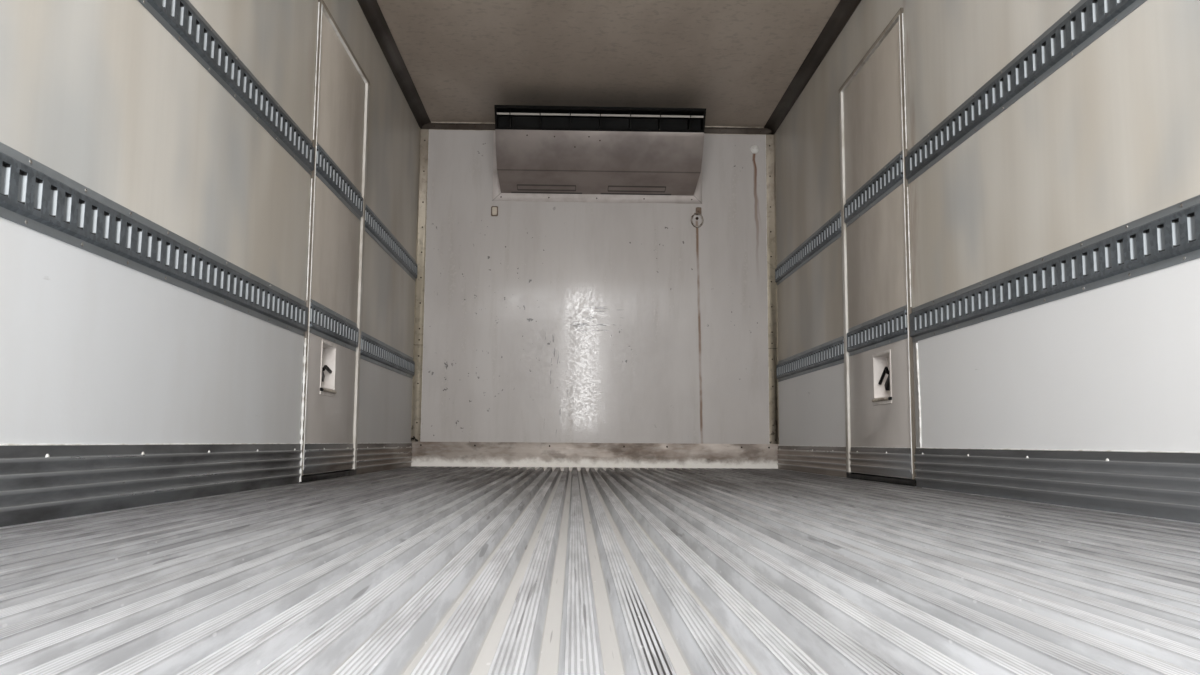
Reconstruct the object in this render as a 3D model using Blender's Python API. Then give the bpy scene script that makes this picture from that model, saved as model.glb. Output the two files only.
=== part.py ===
"""Refrigerated truck body: an insulated box with rear and side doors, lashing rails,
a ribbed floor and a nose-mounted cooling unit. Metres, +Z up.

X runs across the body, +Y from the rear doorway to the bulkhead. The body stands on its
long sills. The rear doors rest folded back against the sides, the side doors rest closed.
"""

import math

import bmesh
import bpy
from mathutils import Matrix, Vector

# Driving sizes of the box.
INNER_LENGTH = 6.2
INNER_WIDTH = 2.256
INNER_HEIGHT = 2.17
SIDE_WALL = 0.092
FRONT_WALL = 0.1
ROOF = 0.095
TOUCH = 0.0003
WELD = 0.002

# What it stands on, from the ground up.
SILL_HEIGHT = 0.12
SILL_WIDTH = 0.07
SILL_STEEL = 0.008
SILL_SPACING = 0.86
CROSS_HEIGHT = 0.1
CROSS_WIDTH = 0.05
CROSS_STEEL = 0.006
CROSS_PITCH = 0.4572
SLAB = 0.105
FLOOR_SHEET = 0.006
RIB_HEIGHT = 0.022
RIB_PITCH = 0.0508
RIB_TOP = 0.024
RIB_BASE = 0.036

# Rear frame and doorway.
FRAME_DEPTH = 0.1
POST_LIP = 0.028
HEADER_LIP = 0.07
BUMPER_DEPTH = 0.075
BUMPER_SIZE = (0.11, 0.16)
BUMPER_INSET = 0.5
LAMP_RADIUS = 0.05
LAMP_DEPTH = 0.018
LAMP_PLATE = 0.005
LAMP_INSETS = (0.3, 0.17)
LAMP_SIDES = 12

# Rear doors: flush leaves on pins that stand outboard, so they fold right round.
DOOR_THICK = 0.09
DOOR_RUN = 0.006
DOOR_MEET = 0.007
DOOR_PROUD = 0.008
PIN_OUT = 0.05
PIN_RADIUS = 0.008
KNUCKLE_RADIUS = 0.014
PIN_RUN = 0.0015
PIN_SIDES = 6
KNUCKLE_STEPS = 8
GASKET = 0.01
GASKET_DEPTH = 0.055
STRAP_HEIGHT = 0.045
STRAP_THICK = 0.01
STRAP_REACH = 0.42
STRAP_SUNK = 0.001
LUG = 0.012
LUG_RUN = 0.002
LUG_DEPTH = 0.045
LUG_SWEEP = (245, 414)
LUG_STEPS = 5
HINGE_INSET = 0.18
HINGE_COUNT = 4
LOCK_BAR_RADIUS = 0.0135
LOCK_BAR_OUT = 0.0215
LOCK_BAR_INSET = 0.17
LOCK_BEARING = (0.05, 0.06)
LOCK_BEARING_INSET = 0.1
LOCK_BEARING_COUNT = 4
LOCK_HANDLE_HEIGHT = 1.05
LOCK_HANDLE_LENGTH = 0.46
LOCK_HANDLE_SECTION = (0.012, 0.03)
BAR_SIDES = 8
BAR_REACH = 0.045
KEEPER_RUN = 0.007
KEEPER = (0.008, 0.045, 0.04)
KEEPER_STEP = 0.006

# Side doorways, measured back from the bulkhead.
SIDE_DOORWAY_MIDDLE = 1.9525
SIDE_DOORWAY_WIDTH = 0.881
SIDE_HEADER = 0.329
SIDE_FRAME = 0.02
SIDE_FRAME_FRONT = 0.04
SIDE_FRAME_PROUD = 0.01
SIDE_FREE_RUN = 0.0128
SIDE_PIN_OUT = 0.0135
SIDE_KNUCKLE_RADIUS = 0.012
SIDE_PIN_RADIUS = 0.007
SIDE_STRAP_REACH = 0.24
SIDE_STRAP_THICK = 0.008
SIDE_HINGE_INSET = 0.22
SIDE_HINGE_COUNT = 3
SIDE_LUG_REACH = 0.06
SIDE_LUG_THICK = 0.006
SIDE_LUG_SWEEP = (40, -130)
SIDE_FRAME_BACK = 0.003
SIDE_BAR_RADIUS = 0.011
SIDE_BAR_OUT = 0.0165
SIDE_BAR_INSET = 0.1
SIDE_BEARING = (0.04, 0.05)
SIDE_BEARING_INSET = 0.13
SIDE_BEARING_COUNT = 3
SIDE_HANDLE_HEIGHT = 1.02
SIDE_HANDLE_LENGTH = 0.3
SIDE_HANDLE_SECTION = (0.008, 0.024)
SIDE_BAR_REACH = 0.018
SIDE_KEEPER = (0.006, 0.03, 0.016)
RECESS_SIZE = (0.227, 0.216)
RECESS_DEPTH = 0.06
RECESS_SHEET = 0.003
RECESS_RIM = 0.012
RECESS_SILL = 0.03
RECESS_PLACES = {"left": (2.0365, 0.4395), "right": (2.026, 0.4235)}
LEVER_LENGTH = 0.135
LEVER_SECTION = (0.016, 0.028)
LEVER_BOSS = 0.022
LEVER_OUT = 0.028
LEVER_BACK = 0.06
LEVER_UP = 0.04
LEVER_SLOPE = math.radians(-35)

# Lashing rails and scuff plates.
RAIL_HEIGHT = 0.127
RAIL_PROUD = 0.012
RAIL_FLANGE = 0.0165
RAIL_FLANGE_THICK = 0.0027
RAIL_SLOPE = 0.006
RAIL_ROWS = {"lower": 0.596, "upper": 1.2}
DOOR_RAIL_LIFT = 0.022
RAIL_END = 0.006
RAIL_REAR_GAP = 0.31
SLOT_SIZE = (0.0245, 0.0585)
SLOT_PITCH = 0.0508
SLOT_MARGIN = 0.024
FIRST_SLOT = {"left": 0.0385, "right": 0.0258}
DOOR_TRIM_INSET = 0.012
SCUFF_HEIGHT = 0.14
SCUFF_SHEET = 0.005
SCUFF_RIB = 0.005
SCUFF_RIB_PITCH = 0.028
SCUFF_RIB_FOOT = 0.0154
SCUFF_RIB_NOSE = 0.0034
SCUFF_LIP = 0.022
DOOR_SCUFF_BOTTOM = 0.03

# Trims inside.
CORNER_TRIM = 0.055
TRIM_SHEET = 0.003
TOP_TRIM = 0.05
KICK_HEIGHT = 0.15
COVE_WIDTH = 0.065
COVE_DROP = 0.05
COVE_SHEET = 0.006
COVE_STEPS = 3

# Outside rails and corners.
BOTTOM_RAIL_UP = 0.125
BOTTOM_RAIL_UNDER = 0.12
ROOF_RAIL_DOWN = 0.09
ROOF_RAIL_OVER = 0.07
RAIL_SHEET = 0.004
CORNER_RADIUS = 0.1
CORNER_STEPS = 4

# Cooling unit: the evaporator hangs inside, the condenser housing sits on the nose.
EVAPORATOR_WIDTH = 1.218
EVAPORATOR_DEPTH = 0.602
EVAPORATOR_DROP = 0.1
OUTLET_HEIGHT = 0.114
OUTLET_LEAN = 0.09
OUTLET_DEPTH = 0.07
OUTLET_RIM = 0.012
OUTLET_POSTS = 7
STRIP_HEIGHT = 0.012
STRIP_DROP = 0.036
COVER_RUN = 0.17
COVER_FALL = 0.19
COVER_SWELL = 0.022
COVER_BACK = 0.243
COVER_STEPS = 6
FLANGE_WIDTH = 0.052
FLANGE_GAP = 0.002
NECK_WIDTH = 1.05
NECK_LIFT = 0.047
NECK_DROP = 0.03
UNIT_WIDTH = 1.86
UNIT_DEPTH = 0.48
UNIT_DROP = 0.04
UNIT_HEIGHT = 0.75
UNIT_CORNER = 0.12
UNIT_BROW = 0.14
UNIT_CHIN = (0.1, 0.09)
UNIT_STEPS = 5
GRILLE_SIZE = (1.3, 0.42)
GRILLE_UP = 0.36
GRILLE_DEPTH = 0.17
GRILLE_RIM = 0.022
GRILLE_RIM_DEPTH = 0.028
GRILLE_SET_BACK = 0.002
GRILLE_BARS = 9
GRILLE_BAR = (0.006, 0.018)
GRILLE_BAR_BACK = 0.024
GRILLE_BAR_LAP = 0.012
FAN_RADIUS = 0.17
FAN_X = 0.32
FAN_BACK = 0.085
FAN_HUB = (0.055, 0.04)
FAN_BLADES = 5
FAN_BLADE = (0.06, 0.005)
FAN_BLADE_LAP = 0.011
FAN_PITCH = math.radians(28)
MOTOR_RADIUS = 0.05
HUB_SIDES = 14
CUT_OVER = 0.1

# Heights and faces that the rest is placed by.
cross_bottom = SILL_HEIGHT + TOUCH
slab_bottom = cross_bottom + CROSS_HEIGHT + TOUCH
slab_top = slab_bottom + SLAB
floor_top = slab_top + TOUCH + FLOOR_SHEET + RIB_HEIGHT
ceiling = floor_top + INNER_HEIGHT
roof_top = ceiling + ROOF
inner_x = INNER_WIDTH / 2
outer_x = inner_x + SIDE_WALL
overall_length = BUMPER_DEPTH + INNER_LENGTH + FRONT_WALL + UNIT_DEPTH
rear_y = BUMPER_DEPTH - overall_length / 2
frame_front = rear_y + FRAME_DEPTH
bulkhead_y = rear_y + INNER_LENGTH
nose_y = bulkhead_y + FRONT_WALL
side_middle_y = bulkhead_y - SIDE_DOORWAY_MIDDLE
side_back = side_middle_y - SIDE_DOORWAY_WIDTH / 2
side_front = side_middle_y + SIDE_DOORWAY_WIDTH / 2
doorway_x = inner_x - POST_LIP
doorway_top = ceiling - HEADER_LIP
side_top = ceiling - SIDE_HEADER
SIDES = (("left", -1), ("right", 1))

for old in list(bpy.data.objects):
    bpy.data.objects.remove(old, do_unlink=True)

parts = bpy.data.collections.new("refrigerated_truck_body")
cutters = bpy.data.collections.new("cutters")
for group in (parts, cutters):
    bpy.context.scene.collection.children.link(group)


def finish_of(name, colour, roughness, metallic=0.0):
    material = bpy.data.materials.new(name)
    material.use_nodes = True
    shader = material.node_tree.nodes["Principled BSDF"]
    shader.inputs["Base Color"].default_value = (*colour, 1)
    shader.inputs["Roughness"].default_value = roughness
    shader.inputs["Metallic"].default_value = metallic
    return material


# Colour, roughness and metallic value of each kind of piece.
FINISHES = {
    "white_skin": ((0.78, 0.78, 0.76), 0.35, 0.0),
    "liner": ((0.66, 0.66, 0.63), 0.4, 0.0),
    "ceiling": ((0.24, 0.22, 0.2), 0.7, 0.0),
    "galvanised": ((0.5, 0.5, 0.49), 0.45, 1.0),
    "aluminium": ((0.6, 0.58, 0.55), 0.35, 1.0),
    "stainless": ((0.62, 0.6, 0.57), 0.25, 1.0),
    "frame_steel": ((0.45, 0.45, 0.45), 0.4, 1.0),
    "dark_steel": ((0.06, 0.06, 0.06), 0.6, 0.0),
    "black_plastic": ((0.02, 0.02, 0.02), 0.5, 0.0),
    "rubber": ((0.015, 0.015, 0.015), 0.8, 0.0),
    "lamp_red": ((0.5, 0.02, 0.02), 0.2, 0.0),
}


def box(low, high):
    """A mesh block between two corners."""
    low, high = Vector(low), Vector(high)
    mesh = bmesh.new()
    bmesh.ops.create_cube(
        mesh, size=1, matrix=Matrix.Translation((low + high) / 2) @ Matrix.Diagonal((*(high - low), 1))
    )
    return mesh


def rod(start, end, radius, sides=12):
    """A round bar between two points."""
    start, end = Vector(start), Vector(end)
    run = end - start
    turn = run.to_track_quat("Z", "Y").to_matrix().to_4x4()
    mesh = bmesh.new()
    bmesh.ops.create_cone(
        mesh,
        cap_ends=True,
        segments=sides,
        radius1=radius,
        radius2=radius,
        depth=run.length,
        matrix=Matrix.Translation((start + end) / 2) @ turn,
    )
    return mesh


# Local curve axes for an outline that is extruded along X (y, z), Y (x, z) or Z (x, y).
AXES = {
    "X": Matrix(((0, 0, 1, 0), (1, 0, 0, 0), (0, 1, 0, 0), (0, 0, 0, 1))),
    "Y": Matrix(((1, 0, 0, 0), (0, 0, -1, 0), (0, 1, 0, 0), (0, 0, 0, 1))),
    "Z": Matrix.Identity(4),
}


def extrusion(loops, along, start, end):
    """Flat outlines, with holes as inner loops, extruded along one axis between two places."""
    curve = bpy.data.curves.new("outline", "CURVE")
    curve.dimensions = "2D"
    curve.fill_mode = "BOTH"
    curve.extrude = (end - start) / 2
    for loop in loops:
        spline = curve.splines.new("POLY")
        spline.points.add(len(loop) - 1)
        spline.use_cyclic_u = True
        for point, (u, v) in zip(spline.points, loop):
            point.co = (u, v, 0, 1)
    guide = bpy.data.objects.new("outline", curve)
    parts.objects.link(guide)
    flat = bpy.data.meshes.new_from_object(guide.evaluated_get(bpy.context.evaluated_depsgraph_get()))
    bpy.data.objects.remove(guide)
    mesh = bmesh.new()
    mesh.from_mesh(flat)
    bmesh.ops.remove_doubles(mesh, verts=mesh.verts, dist=1e-6)
    bmesh.ops.recalc_face_normals(mesh, faces=mesh.faces)
    middle = (start + end) / 2
    offset = {"X": (middle, 0, 0), "Y": (0, middle, 0), "Z": (0, 0, middle)}[along]
    mesh.transform(Matrix.Translation(offset) @ AXES[along])
    bpy.data.curves.remove(curve)
    bpy.data.meshes.remove(flat)
    return mesh


def rectangle(u0, v0, u1, v1):
    return [(u0, v0), (u1, v0), (u1, v1), (u0, v1)]


def arc(centre, radius, start, end, steps):
    """Points on an arc, angles in degrees."""
    angles = [math.radians(start + (end - start) * i / steps) for i in range(steps + 1)]
    return [(centre[0] + radius * math.cos(a), centre[1] + radius * math.sin(a)) for a in angles]


def spread(low, high, count):
    """Evenly spaced places, both ends included."""
    return [low + (high - low) * i / (count - 1) for i in range(count)]


def nose_path(offset):
    """The box's plan round its nose, from right to left, offset outward."""
    reach = CORNER_RADIUS + offset
    corner_x, corner_y = outer_x - CORNER_RADIUS, nose_y - CORNER_RADIUS
    return arc((corner_x, corner_y), reach, 0, 90, CORNER_STEPS) + arc(
        (-corner_x, corner_y), reach, 90, 180, CORNER_STEPS
    )


def joined(meshes, name, group):
    """One object that holds several separate solids."""
    whole = bmesh.new()
    for mesh in meshes:
        piece = bpy.data.meshes.new("piece")
        mesh.to_mesh(piece)
        mesh.free()
        whole.from_mesh(piece)
        bpy.data.meshes.remove(piece)
    data = bpy.data.meshes.new(name)
    whole.to_mesh(data)
    whole.free()
    made = bpy.data.objects.new(name, data)
    group.objects.link(made)
    return made


def node(name, mesh, finish, carrier=None, cuts=(), joins=()):
    """A named sub-part: one solid, its material, its carrier, then its cuts and its joins.
    The meshes in one group of cuts or joins don't touch each other."""
    made = joined([mesh], name, parts)
    made.data.materials.append(finish_of(name, *FINISHES[finish]))
    made.parent = carrier
    for operation, groups in (("DIFFERENCE", cuts), ("UNION", joins)):
        for number, tools in enumerate(groups):
            shape(made, tools, operation, f"{name}_{operation.lower()}_{number}", carrier)
    return made


def shape(made, tools, operation, name, carrier=None):
    """Cuts, joins or trims an object with other meshes."""
    tool = joined(tools, name, cutters)
    tool.hide_render = True
    tool.display_type = "WIRE"
    tool.parent = carrier
    change = made.modifiers.new(name, "BOOLEAN")
    change.operation = operation
    change.object = tool
    change.solver = "EXACT"


def pivot(name, place, turn=0.0):
    """An empty on a joint's axis. Its pieces are modelled about it."""
    empty = bpy.data.objects.new(name, None)
    parts.objects.link(empty)
    empty.location = place
    empty.rotation_euler = (0, 0, turn)
    return empty


def mirrored(mesh, side):
    """A mesh drawn for the right side, flipped across X for the left."""
    if side < 0:
        mesh.transform(Matrix.Diagonal((-1, 1, 1, 1)))
        bmesh.ops.reverse_faces(mesh, faces=mesh.faces)
    return mesh


def channel(width, height, steel):
    """A C-section that opens towards +u."""
    return [
        (0, 0), (width, 0), (width, steel), (steel, steel),
        (steel, height - steel), (width, height - steel), (width, height), (0, height),
    ]


def shifted(loop, du, dv, flip=1):
    return [(du + flip * u, dv + v) for u, v in loop]


# Underframe: two long channel sills, with channel crossmembers welded across their tops.
sill_section = channel(SILL_WIDTH, SILL_HEIGHT, SILL_STEEL)
cross_section = channel(CROSS_WIDTH, CROSS_HEIGHT + WELD, CROSS_STEEL)
cross_reach = outer_x - BOTTOM_RAIL_UNDER - RAIL_SHEET
cross_first = frame_front + CROSS_WIDTH
cross_last = nose_y - 2 * CROSS_WIDTH
cross_count = round((cross_last - cross_first) / CROSS_PITCH) + 1
cross_step = (cross_last - cross_first) / (cross_count - 1)
sills = []
for _, side in SIDES:
    web = shifted(sill_section, -side * SILL_SPACING / 2, 0, side)
    sills.append(extrusion([web], "Y", rear_y, nose_y))
members = []
for i in range(cross_count):
    member = shifted(cross_section, cross_first + i * cross_step, SILL_HEIGHT - WELD)
    members.append(extrusion([member], "X", -cross_reach, cross_reach))
node("underframe", sills[0], "dark_steel", joins=[members, [sills[1]]])

# Floor slab, between the side walls, the rear frame and the front wall.
slab_x = inner_x - TOUCH
slab_front = bulkhead_y - TOUCH
slab = box((-slab_x, frame_front + TOUCH, slab_bottom), (slab_x, slab_front, slab_top))
node("floor_slab", slab, "white_skin")

# Ribbed floor: one aluminium section, tapered ribs on a sheet, with a gap on the centreline.
sheet_bottom = slab_top + TOUCH
sheet_top = sheet_bottom + FLOOR_SHEET
rib_count = 2 * int((slab_x - RIB_BASE / 2) / RIB_PITCH - 0.5) + 2
rib_outline = [(-slab_x, sheet_bottom), (slab_x, sheet_bottom), (slab_x, sheet_top)]
for i in reversed(range(rib_count)):
    rib_x = (i - (rib_count - 1) / 2) * RIB_PITCH
    rib_outline += [
        (rib_x + RIB_BASE / 2, sheet_top), (rib_x + RIB_TOP / 2, floor_top),
        (rib_x - RIB_TOP / 2, floor_top), (rib_x - RIB_BASE / 2, sheet_top),
    ]
rib_outline.append((-slab_x, sheet_top))
node("ribbed_floor", extrusion([rib_outline], "Y", frame_front + TOUCH, slab_front), "aluminium")

# Side walls: insulated panels, each with a doorway near the front.
for label, side in SIDES:
    hole = rectangle(side_back, floor_top, side_front, side_top)
    face = rectangle(frame_front + TOUCH, slab_bottom, bulkhead_y, ceiling)
    low, high = sorted((side * inner_x, side * outer_x))
    node(f"{label}_wall", extrusion([face, hole], "X", low, high), "liner")

# Roof panel, on the walls, with front corners as round as the corner posts.
roof_loop = [(-outer_x, frame_front + TOUCH), (outer_x, frame_front + TOUCH)]
roof_loop += nose_path(0)
node("roof_panel", extrusion([roof_loop], "Z", ceiling + TOUCH, roof_top), "ceiling")

# Front wall, with the cut-out that the cooling unit's neck passes through.
post_x = outer_x - CORNER_RADIUS
evaporator_top = ceiling - EVAPORATOR_DROP
outlet_low = evaporator_top - OUTLET_HEIGHT
cover_back = outlet_low - COVER_BACK
neck_low = cover_back + NECK_LIFT
neck_high = evaporator_top - NECK_DROP
half_neck = NECK_WIDTH / 2
neck_hole = rectangle(-half_neck, neck_low, half_neck, neck_high)
front_face = rectangle(-post_x, slab_bottom, post_x, ceiling)
node("front_wall", extrusion([front_face, neck_hole], "Y", bulkhead_y, nose_y), "liner")

# Corner posts: quarter-round extrusions where the side walls meet the front wall.
post_corner = (post_x + TOUCH, bulkhead_y + TOUCH)
post_loop = [post_corner] + arc(post_corner, CORNER_RADIUS - TOUCH, 0, 90, CORNER_STEPS)
for label, side in SIDES:
    post = extrusion([post_loop], "Z", slab_bottom, ceiling)
    node(f"corner_post_{label}", mirrored(post, side), "aluminium")

# Bottom rails: angles that wrap the foot of each side wall.
rail_out = outer_x + TOUCH
angle_outer = rail_out + RAIL_SHEET
under = slab_bottom - TOUCH
bottom_rail = [
    (outer_x - BOTTOM_RAIL_UNDER, under - RAIL_SHEET), (angle_outer, under - RAIL_SHEET),
    (angle_outer, slab_bottom + BOTTOM_RAIL_UP), (rail_out, slab_bottom + BOTTOM_RAIL_UP),
    (rail_out, under), (outer_x - BOTTOM_RAIL_UNDER, under),
]
for label, side in SIDES:
    rail = extrusion([bottom_rail], "Y", frame_front + TOUCH, nose_y - CORNER_RADIUS)
    node(f"bottom_rail_{label}", mirrored(rail, side), "aluminium")

# Roof rails: one angle that runs up both sides and round the nose, over the roof's edge.
rail_rear = frame_front + TOUCH
skirt_loop = [(-angle_outer, rail_rear), (-rail_out, rail_rear)] + nose_path(TOUCH)[::-1]
skirt_loop += [(rail_out, rail_rear), (angle_outer, rail_rear)] + nose_path(TOUCH + RAIL_SHEET)
over = TOUCH + RAIL_SHEET / 2
lid_loop = [(-outer_x - over, rail_rear + TOUCH), (ROOF_RAIL_OVER - outer_x, rail_rear + TOUCH)]
lid_loop += nose_path(-ROOF_RAIL_OVER)[::-1]
lid_loop += [(outer_x - ROOF_RAIL_OVER, rail_rear + TOUCH), (outer_x + over, rail_rear + TOUCH)]
lid_loop += nose_path(over)
rail_crest = roof_top + TOUCH + RAIL_SHEET
node(
    "roof_rails",
    extrusion([skirt_loop], "Z", roof_top - ROOF_RAIL_DOWN, rail_crest),
    "aluminium",
    joins=[[extrusion([lid_loop], "Z", roof_top + TOUCH, rail_crest - TOUCH)]],
)


def rail_section(height):
    """The lashing rail's hat section, proud of the wall at inner_x, for the right side."""
    base = inner_x - TOUCH
    flange = base - RAIL_FLANGE_THICK
    face = base - RAIL_PROUD
    low = height - RAIL_HEIGHT / 2
    high = height + RAIL_HEIGHT / 2
    return [
        (base, low), (flange, low), (flange, low + RAIL_FLANGE), (face, low + RAIL_FLANGE + RAIL_SLOPE),
        (face, high - RAIL_FLANGE - RAIL_SLOPE), (flange, high - RAIL_FLANGE), (flange, high), (base, high),
    ]


def rail_slots(height, start, end, first=None):
    """Cutters for a rail's slots, for the right side. They stand a pitch apart, from the first
    one's distance along the rail or else centred between its ends, and stop at the wall flange."""
    width, tall = SLOT_SIZE
    run = end - start
    if first is None:
        spare = run - 2 * SLOT_MARGIN
        first = SLOT_MARGIN + (spare - int(spare / SLOT_PITCH) * SLOT_PITCH) / 2
    count = int((run - SLOT_MARGIN - first) / SLOT_PITCH + 0.001) + 1
    slots = []
    for i in range(count):
        middle = start + first + i * SLOT_PITCH
        slots.append(
            box(
                (inner_x - 2 * RAIL_PROUD, middle - width / 2, height - tall / 2),
                (inner_x - TOUCH - RAIL_FLANGE_THICK, middle + width / 2, height + tall / 2),
            )
        )
    return slots


def scuff_section(bottom):
    """The scuff plate's ribbed section for the right side, from bottom to its top lip."""
    base = inner_x - TOUCH
    sheet = base - SCUFF_SHEET
    nose = sheet - SCUFF_RIB
    top = floor_top + SCUFF_HEIGHT
    outline = [(base, bottom), (sheet, bottom)]
    rib_count_up = int((top - SCUFF_LIP - bottom) / SCUFF_RIB_PITCH)
    for i in reversed(range(rib_count_up)):
        rib_high = top - SCUFF_LIP - i * SCUFF_RIB_PITCH
        outline += [
            (sheet, rib_high - SCUFF_RIB_FOOT), (nose, rib_high - SCUFF_RIB_NOSE),
            (nose, rib_high), (sheet, rib_high),
        ]
    return outline + [(sheet, top), (base, top)]


wall_runs = (
    ("rear", frame_front + TOUCH, side_back - RAIL_END),
    ("front", side_front + RAIL_END, bulkhead_y),
)
rail_stop = CORNER_TRIM / 2 + RAIL_END
scuff_stop = TRIM_SHEET + RAIL_END
for label, side in SIDES:
    for place, start, end in wall_runs:
        rear = place == "rear"
        rail_start = start + RAIL_REAR_GAP if rear else start
        rail_end = end if rear else end - rail_stop
        for row, rail_height in RAIL_ROWS.items():
            rail_z = floor_top + rail_height
            rail = extrusion([rail_section(rail_z)], "Y", rail_start, rail_end)
            slots = rail_slots(rail_z, rail_start, rail_end, FIRST_SLOT[label] if rear else None)
            slots = [mirrored(slot, side) for slot in slots]
            node(f"lashing_rail_{label}_{row}_{place}", mirrored(rail, side), "galvanised", cuts=[slots])
        scuff = extrusion([scuff_section(floor_top + TOUCH)], "Y", start, end if rear else end - scuff_stop)
        node(f"scuff_plate_{label}_{place}", mirrored(scuff, side), "aluminium")

# Bulkhead trim: a flat strip up both corners and across the top, with a leg on each side wall.
trim_face = bulkhead_y - TOUCH
trim_front = trim_face - TRIM_SHEET
kick_top = floor_top + KICK_HEIGHT
trim_x = inner_x - TOUCH
trim_inner = inner_x - CORNER_TRIM
trim_low = kick_top + TOUCH
trim_high = ceiling - TOUCH
trim_loop = [
    (-trim_x, trim_low), (-trim_inner, trim_low), (-trim_inner, trim_high - TOP_TRIM),
    (trim_inner, trim_high - TOP_TRIM), (trim_inner, trim_low), (trim_x, trim_low),
    (trim_x, trim_high), (-trim_x, trim_high),
]
legs = []
for _, side in SIDES:
    leg = box(
        (trim_x - TRIM_SHEET, trim_face - CORNER_TRIM / 2, trim_low + TOUCH),
        (trim_x - TOUCH, trim_face - TOUCH, ceiling - COVE_DROP - 3 * TOUCH),
    )
    legs.append(mirrored(leg, side))
node("bulkhead_trim", extrusion([trim_loop], "Y", trim_front, trim_face), "aluminium", joins=[legs])
node("kick_plate", box((-trim_x, trim_front, floor_top + TOUCH), (trim_x, trim_face, kick_top)), "aluminium")

# Ceiling coves: hollow-curved corner mouldings between the walls and the ceiling.
cove_x = inner_x - TOUCH
cove_z = ceiling - TOUCH
cove_run = COVE_WIDTH - COVE_SHEET
cove_fall = COVE_DROP - COVE_SHEET
cove_loop = [(cove_x, cove_z), (cove_x - COVE_WIDTH, cove_z)]
for step in range(COVE_STEPS + 1):
    sweep = math.radians(90 * step / COVE_STEPS)
    cove_loop.append(
        (cove_x - COVE_WIDTH + cove_run * math.sin(sweep), cove_z - COVE_DROP + cove_fall * math.cos(sweep))
    )
cove_loop.append((cove_x, cove_z - COVE_DROP))
for label, side in SIDES:
    cove = extrusion([cove_loop], "Y", frame_front + TOUCH, trim_front - TOUCH)
    node(f"ceiling_cove_{label}", mirrored(cove, side), "ceiling")

# Evaporator housing: a black hood whose open front leans back over the cover, and its neck.
half_evaporator = EVAPORATOR_WIDTH / 2
evaporator_front = bulkhead_y - EVAPORATOR_DEPTH
outlet_front = evaporator_front + OUTLET_LEAN
outlet_back = outlet_front + OUTLET_DEPTH
hood_loop = [
    (evaporator_front, evaporator_top), (outlet_front, outlet_low),
    (trim_face, outlet_low), (trim_face, evaporator_top),
]
hood = extrusion([hood_loop], "X", -half_evaporator, half_evaporator)
neck_root = trim_face - OUTLET_DEPTH
neck_loop = [
    (neck_root, outlet_low + OUTLET_RIM), (bulkhead_y + TOUCH, outlet_low + OUTLET_RIM),
    (bulkhead_y + TOUCH, neck_low + TOUCH), (nose_y, neck_low + TOUCH),
    (nose_y, neck_high - TOUCH), (neck_root, neck_high - TOUCH),
]
neck = extrusion([neck_loop], "X", TOUCH - half_neck, half_neck - TOUCH)
outlet = box(
    (OUTLET_RIM - half_evaporator, evaporator_front - OUTLET_RIM, outlet_low + OUTLET_RIM),
    (half_evaporator - OUTLET_RIM, outlet_back, evaporator_top - OUTLET_RIM),
)
strip_z = evaporator_top - STRIP_DROP
strip_y = evaporator_front + OUTLET_LEAN * STRIP_DROP / OUTLET_HEIGHT + OUTLET_RIM
strip = box(
    (TOUCH - half_evaporator, strip_y, strip_z - STRIP_HEIGHT / 2),
    (half_evaporator - TOUCH, strip_y + TRIM_SHEET, strip_z + STRIP_HEIGHT / 2),
)
post_set_back = OUTLET_RIM / 2
post_loop = [
    (evaporator_front + post_set_back, evaporator_top - TOUCH),
    (outlet_front + post_set_back, outlet_low + TOUCH),
    (outlet_back + OUTLET_RIM, outlet_low + TOUCH), (outlet_back + OUTLET_RIM, evaporator_top - TOUCH),
]
posts = []
for i in range(OUTLET_POSTS):
    post_middle = EVAPORATOR_WIDTH * ((i + 0.5) / OUTLET_POSTS - 0.5)
    posts.append(extrusion([post_loop], "X", post_middle - TRIM_SHEET, post_middle + TRIM_SHEET))
node("evaporator_housing", hood, "black_plastic", cuts=[[outlet]], joins=[[neck], posts, [strip]])

# Evaporator cover: a stainless sheet that swells down from the outlet to a fold, then runs almost
# level to the bulkhead.
cover_top = outlet_low - TOUCH
cover_loop = [(trim_face, cover_top)]
for step in range(COVER_STEPS + 1):
    part = step / COVER_STEPS
    swell = 4 * COVER_SWELL * part * (1 - part)
    cover_loop.append((outlet_front + COVER_RUN * part - swell, cover_top - COVER_FALL * part))
cover_loop.append((trim_face, cover_back + TOUCH))
cover = extrusion([cover_loop], "X", -half_evaporator, half_evaporator)
node("evaporator_cover", cover, "stainless")

# Flange frame: the mitred trim on the bulkhead round the foot of the unit, up to the top trim.
flange_inner = half_evaporator + FLANGE_GAP
flange_outer = flange_inner + FLANGE_WIDTH
flange_low = cover_back - FLANGE_WIDTH
flange_high = trim_high - TOP_TRIM - FLANGE_GAP
flange_loop = [
    (-flange_outer, flange_low), (flange_outer, flange_low), (flange_outer, flange_high),
    (flange_inner, flange_high), (flange_inner, cover_back), (-flange_inner, cover_back),
    (-flange_inner, flange_high), (-flange_outer, flange_high),
]
node("evaporator_flange", extrusion([flange_loop], "Y", trim_front, trim_face), "aluminium")

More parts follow.
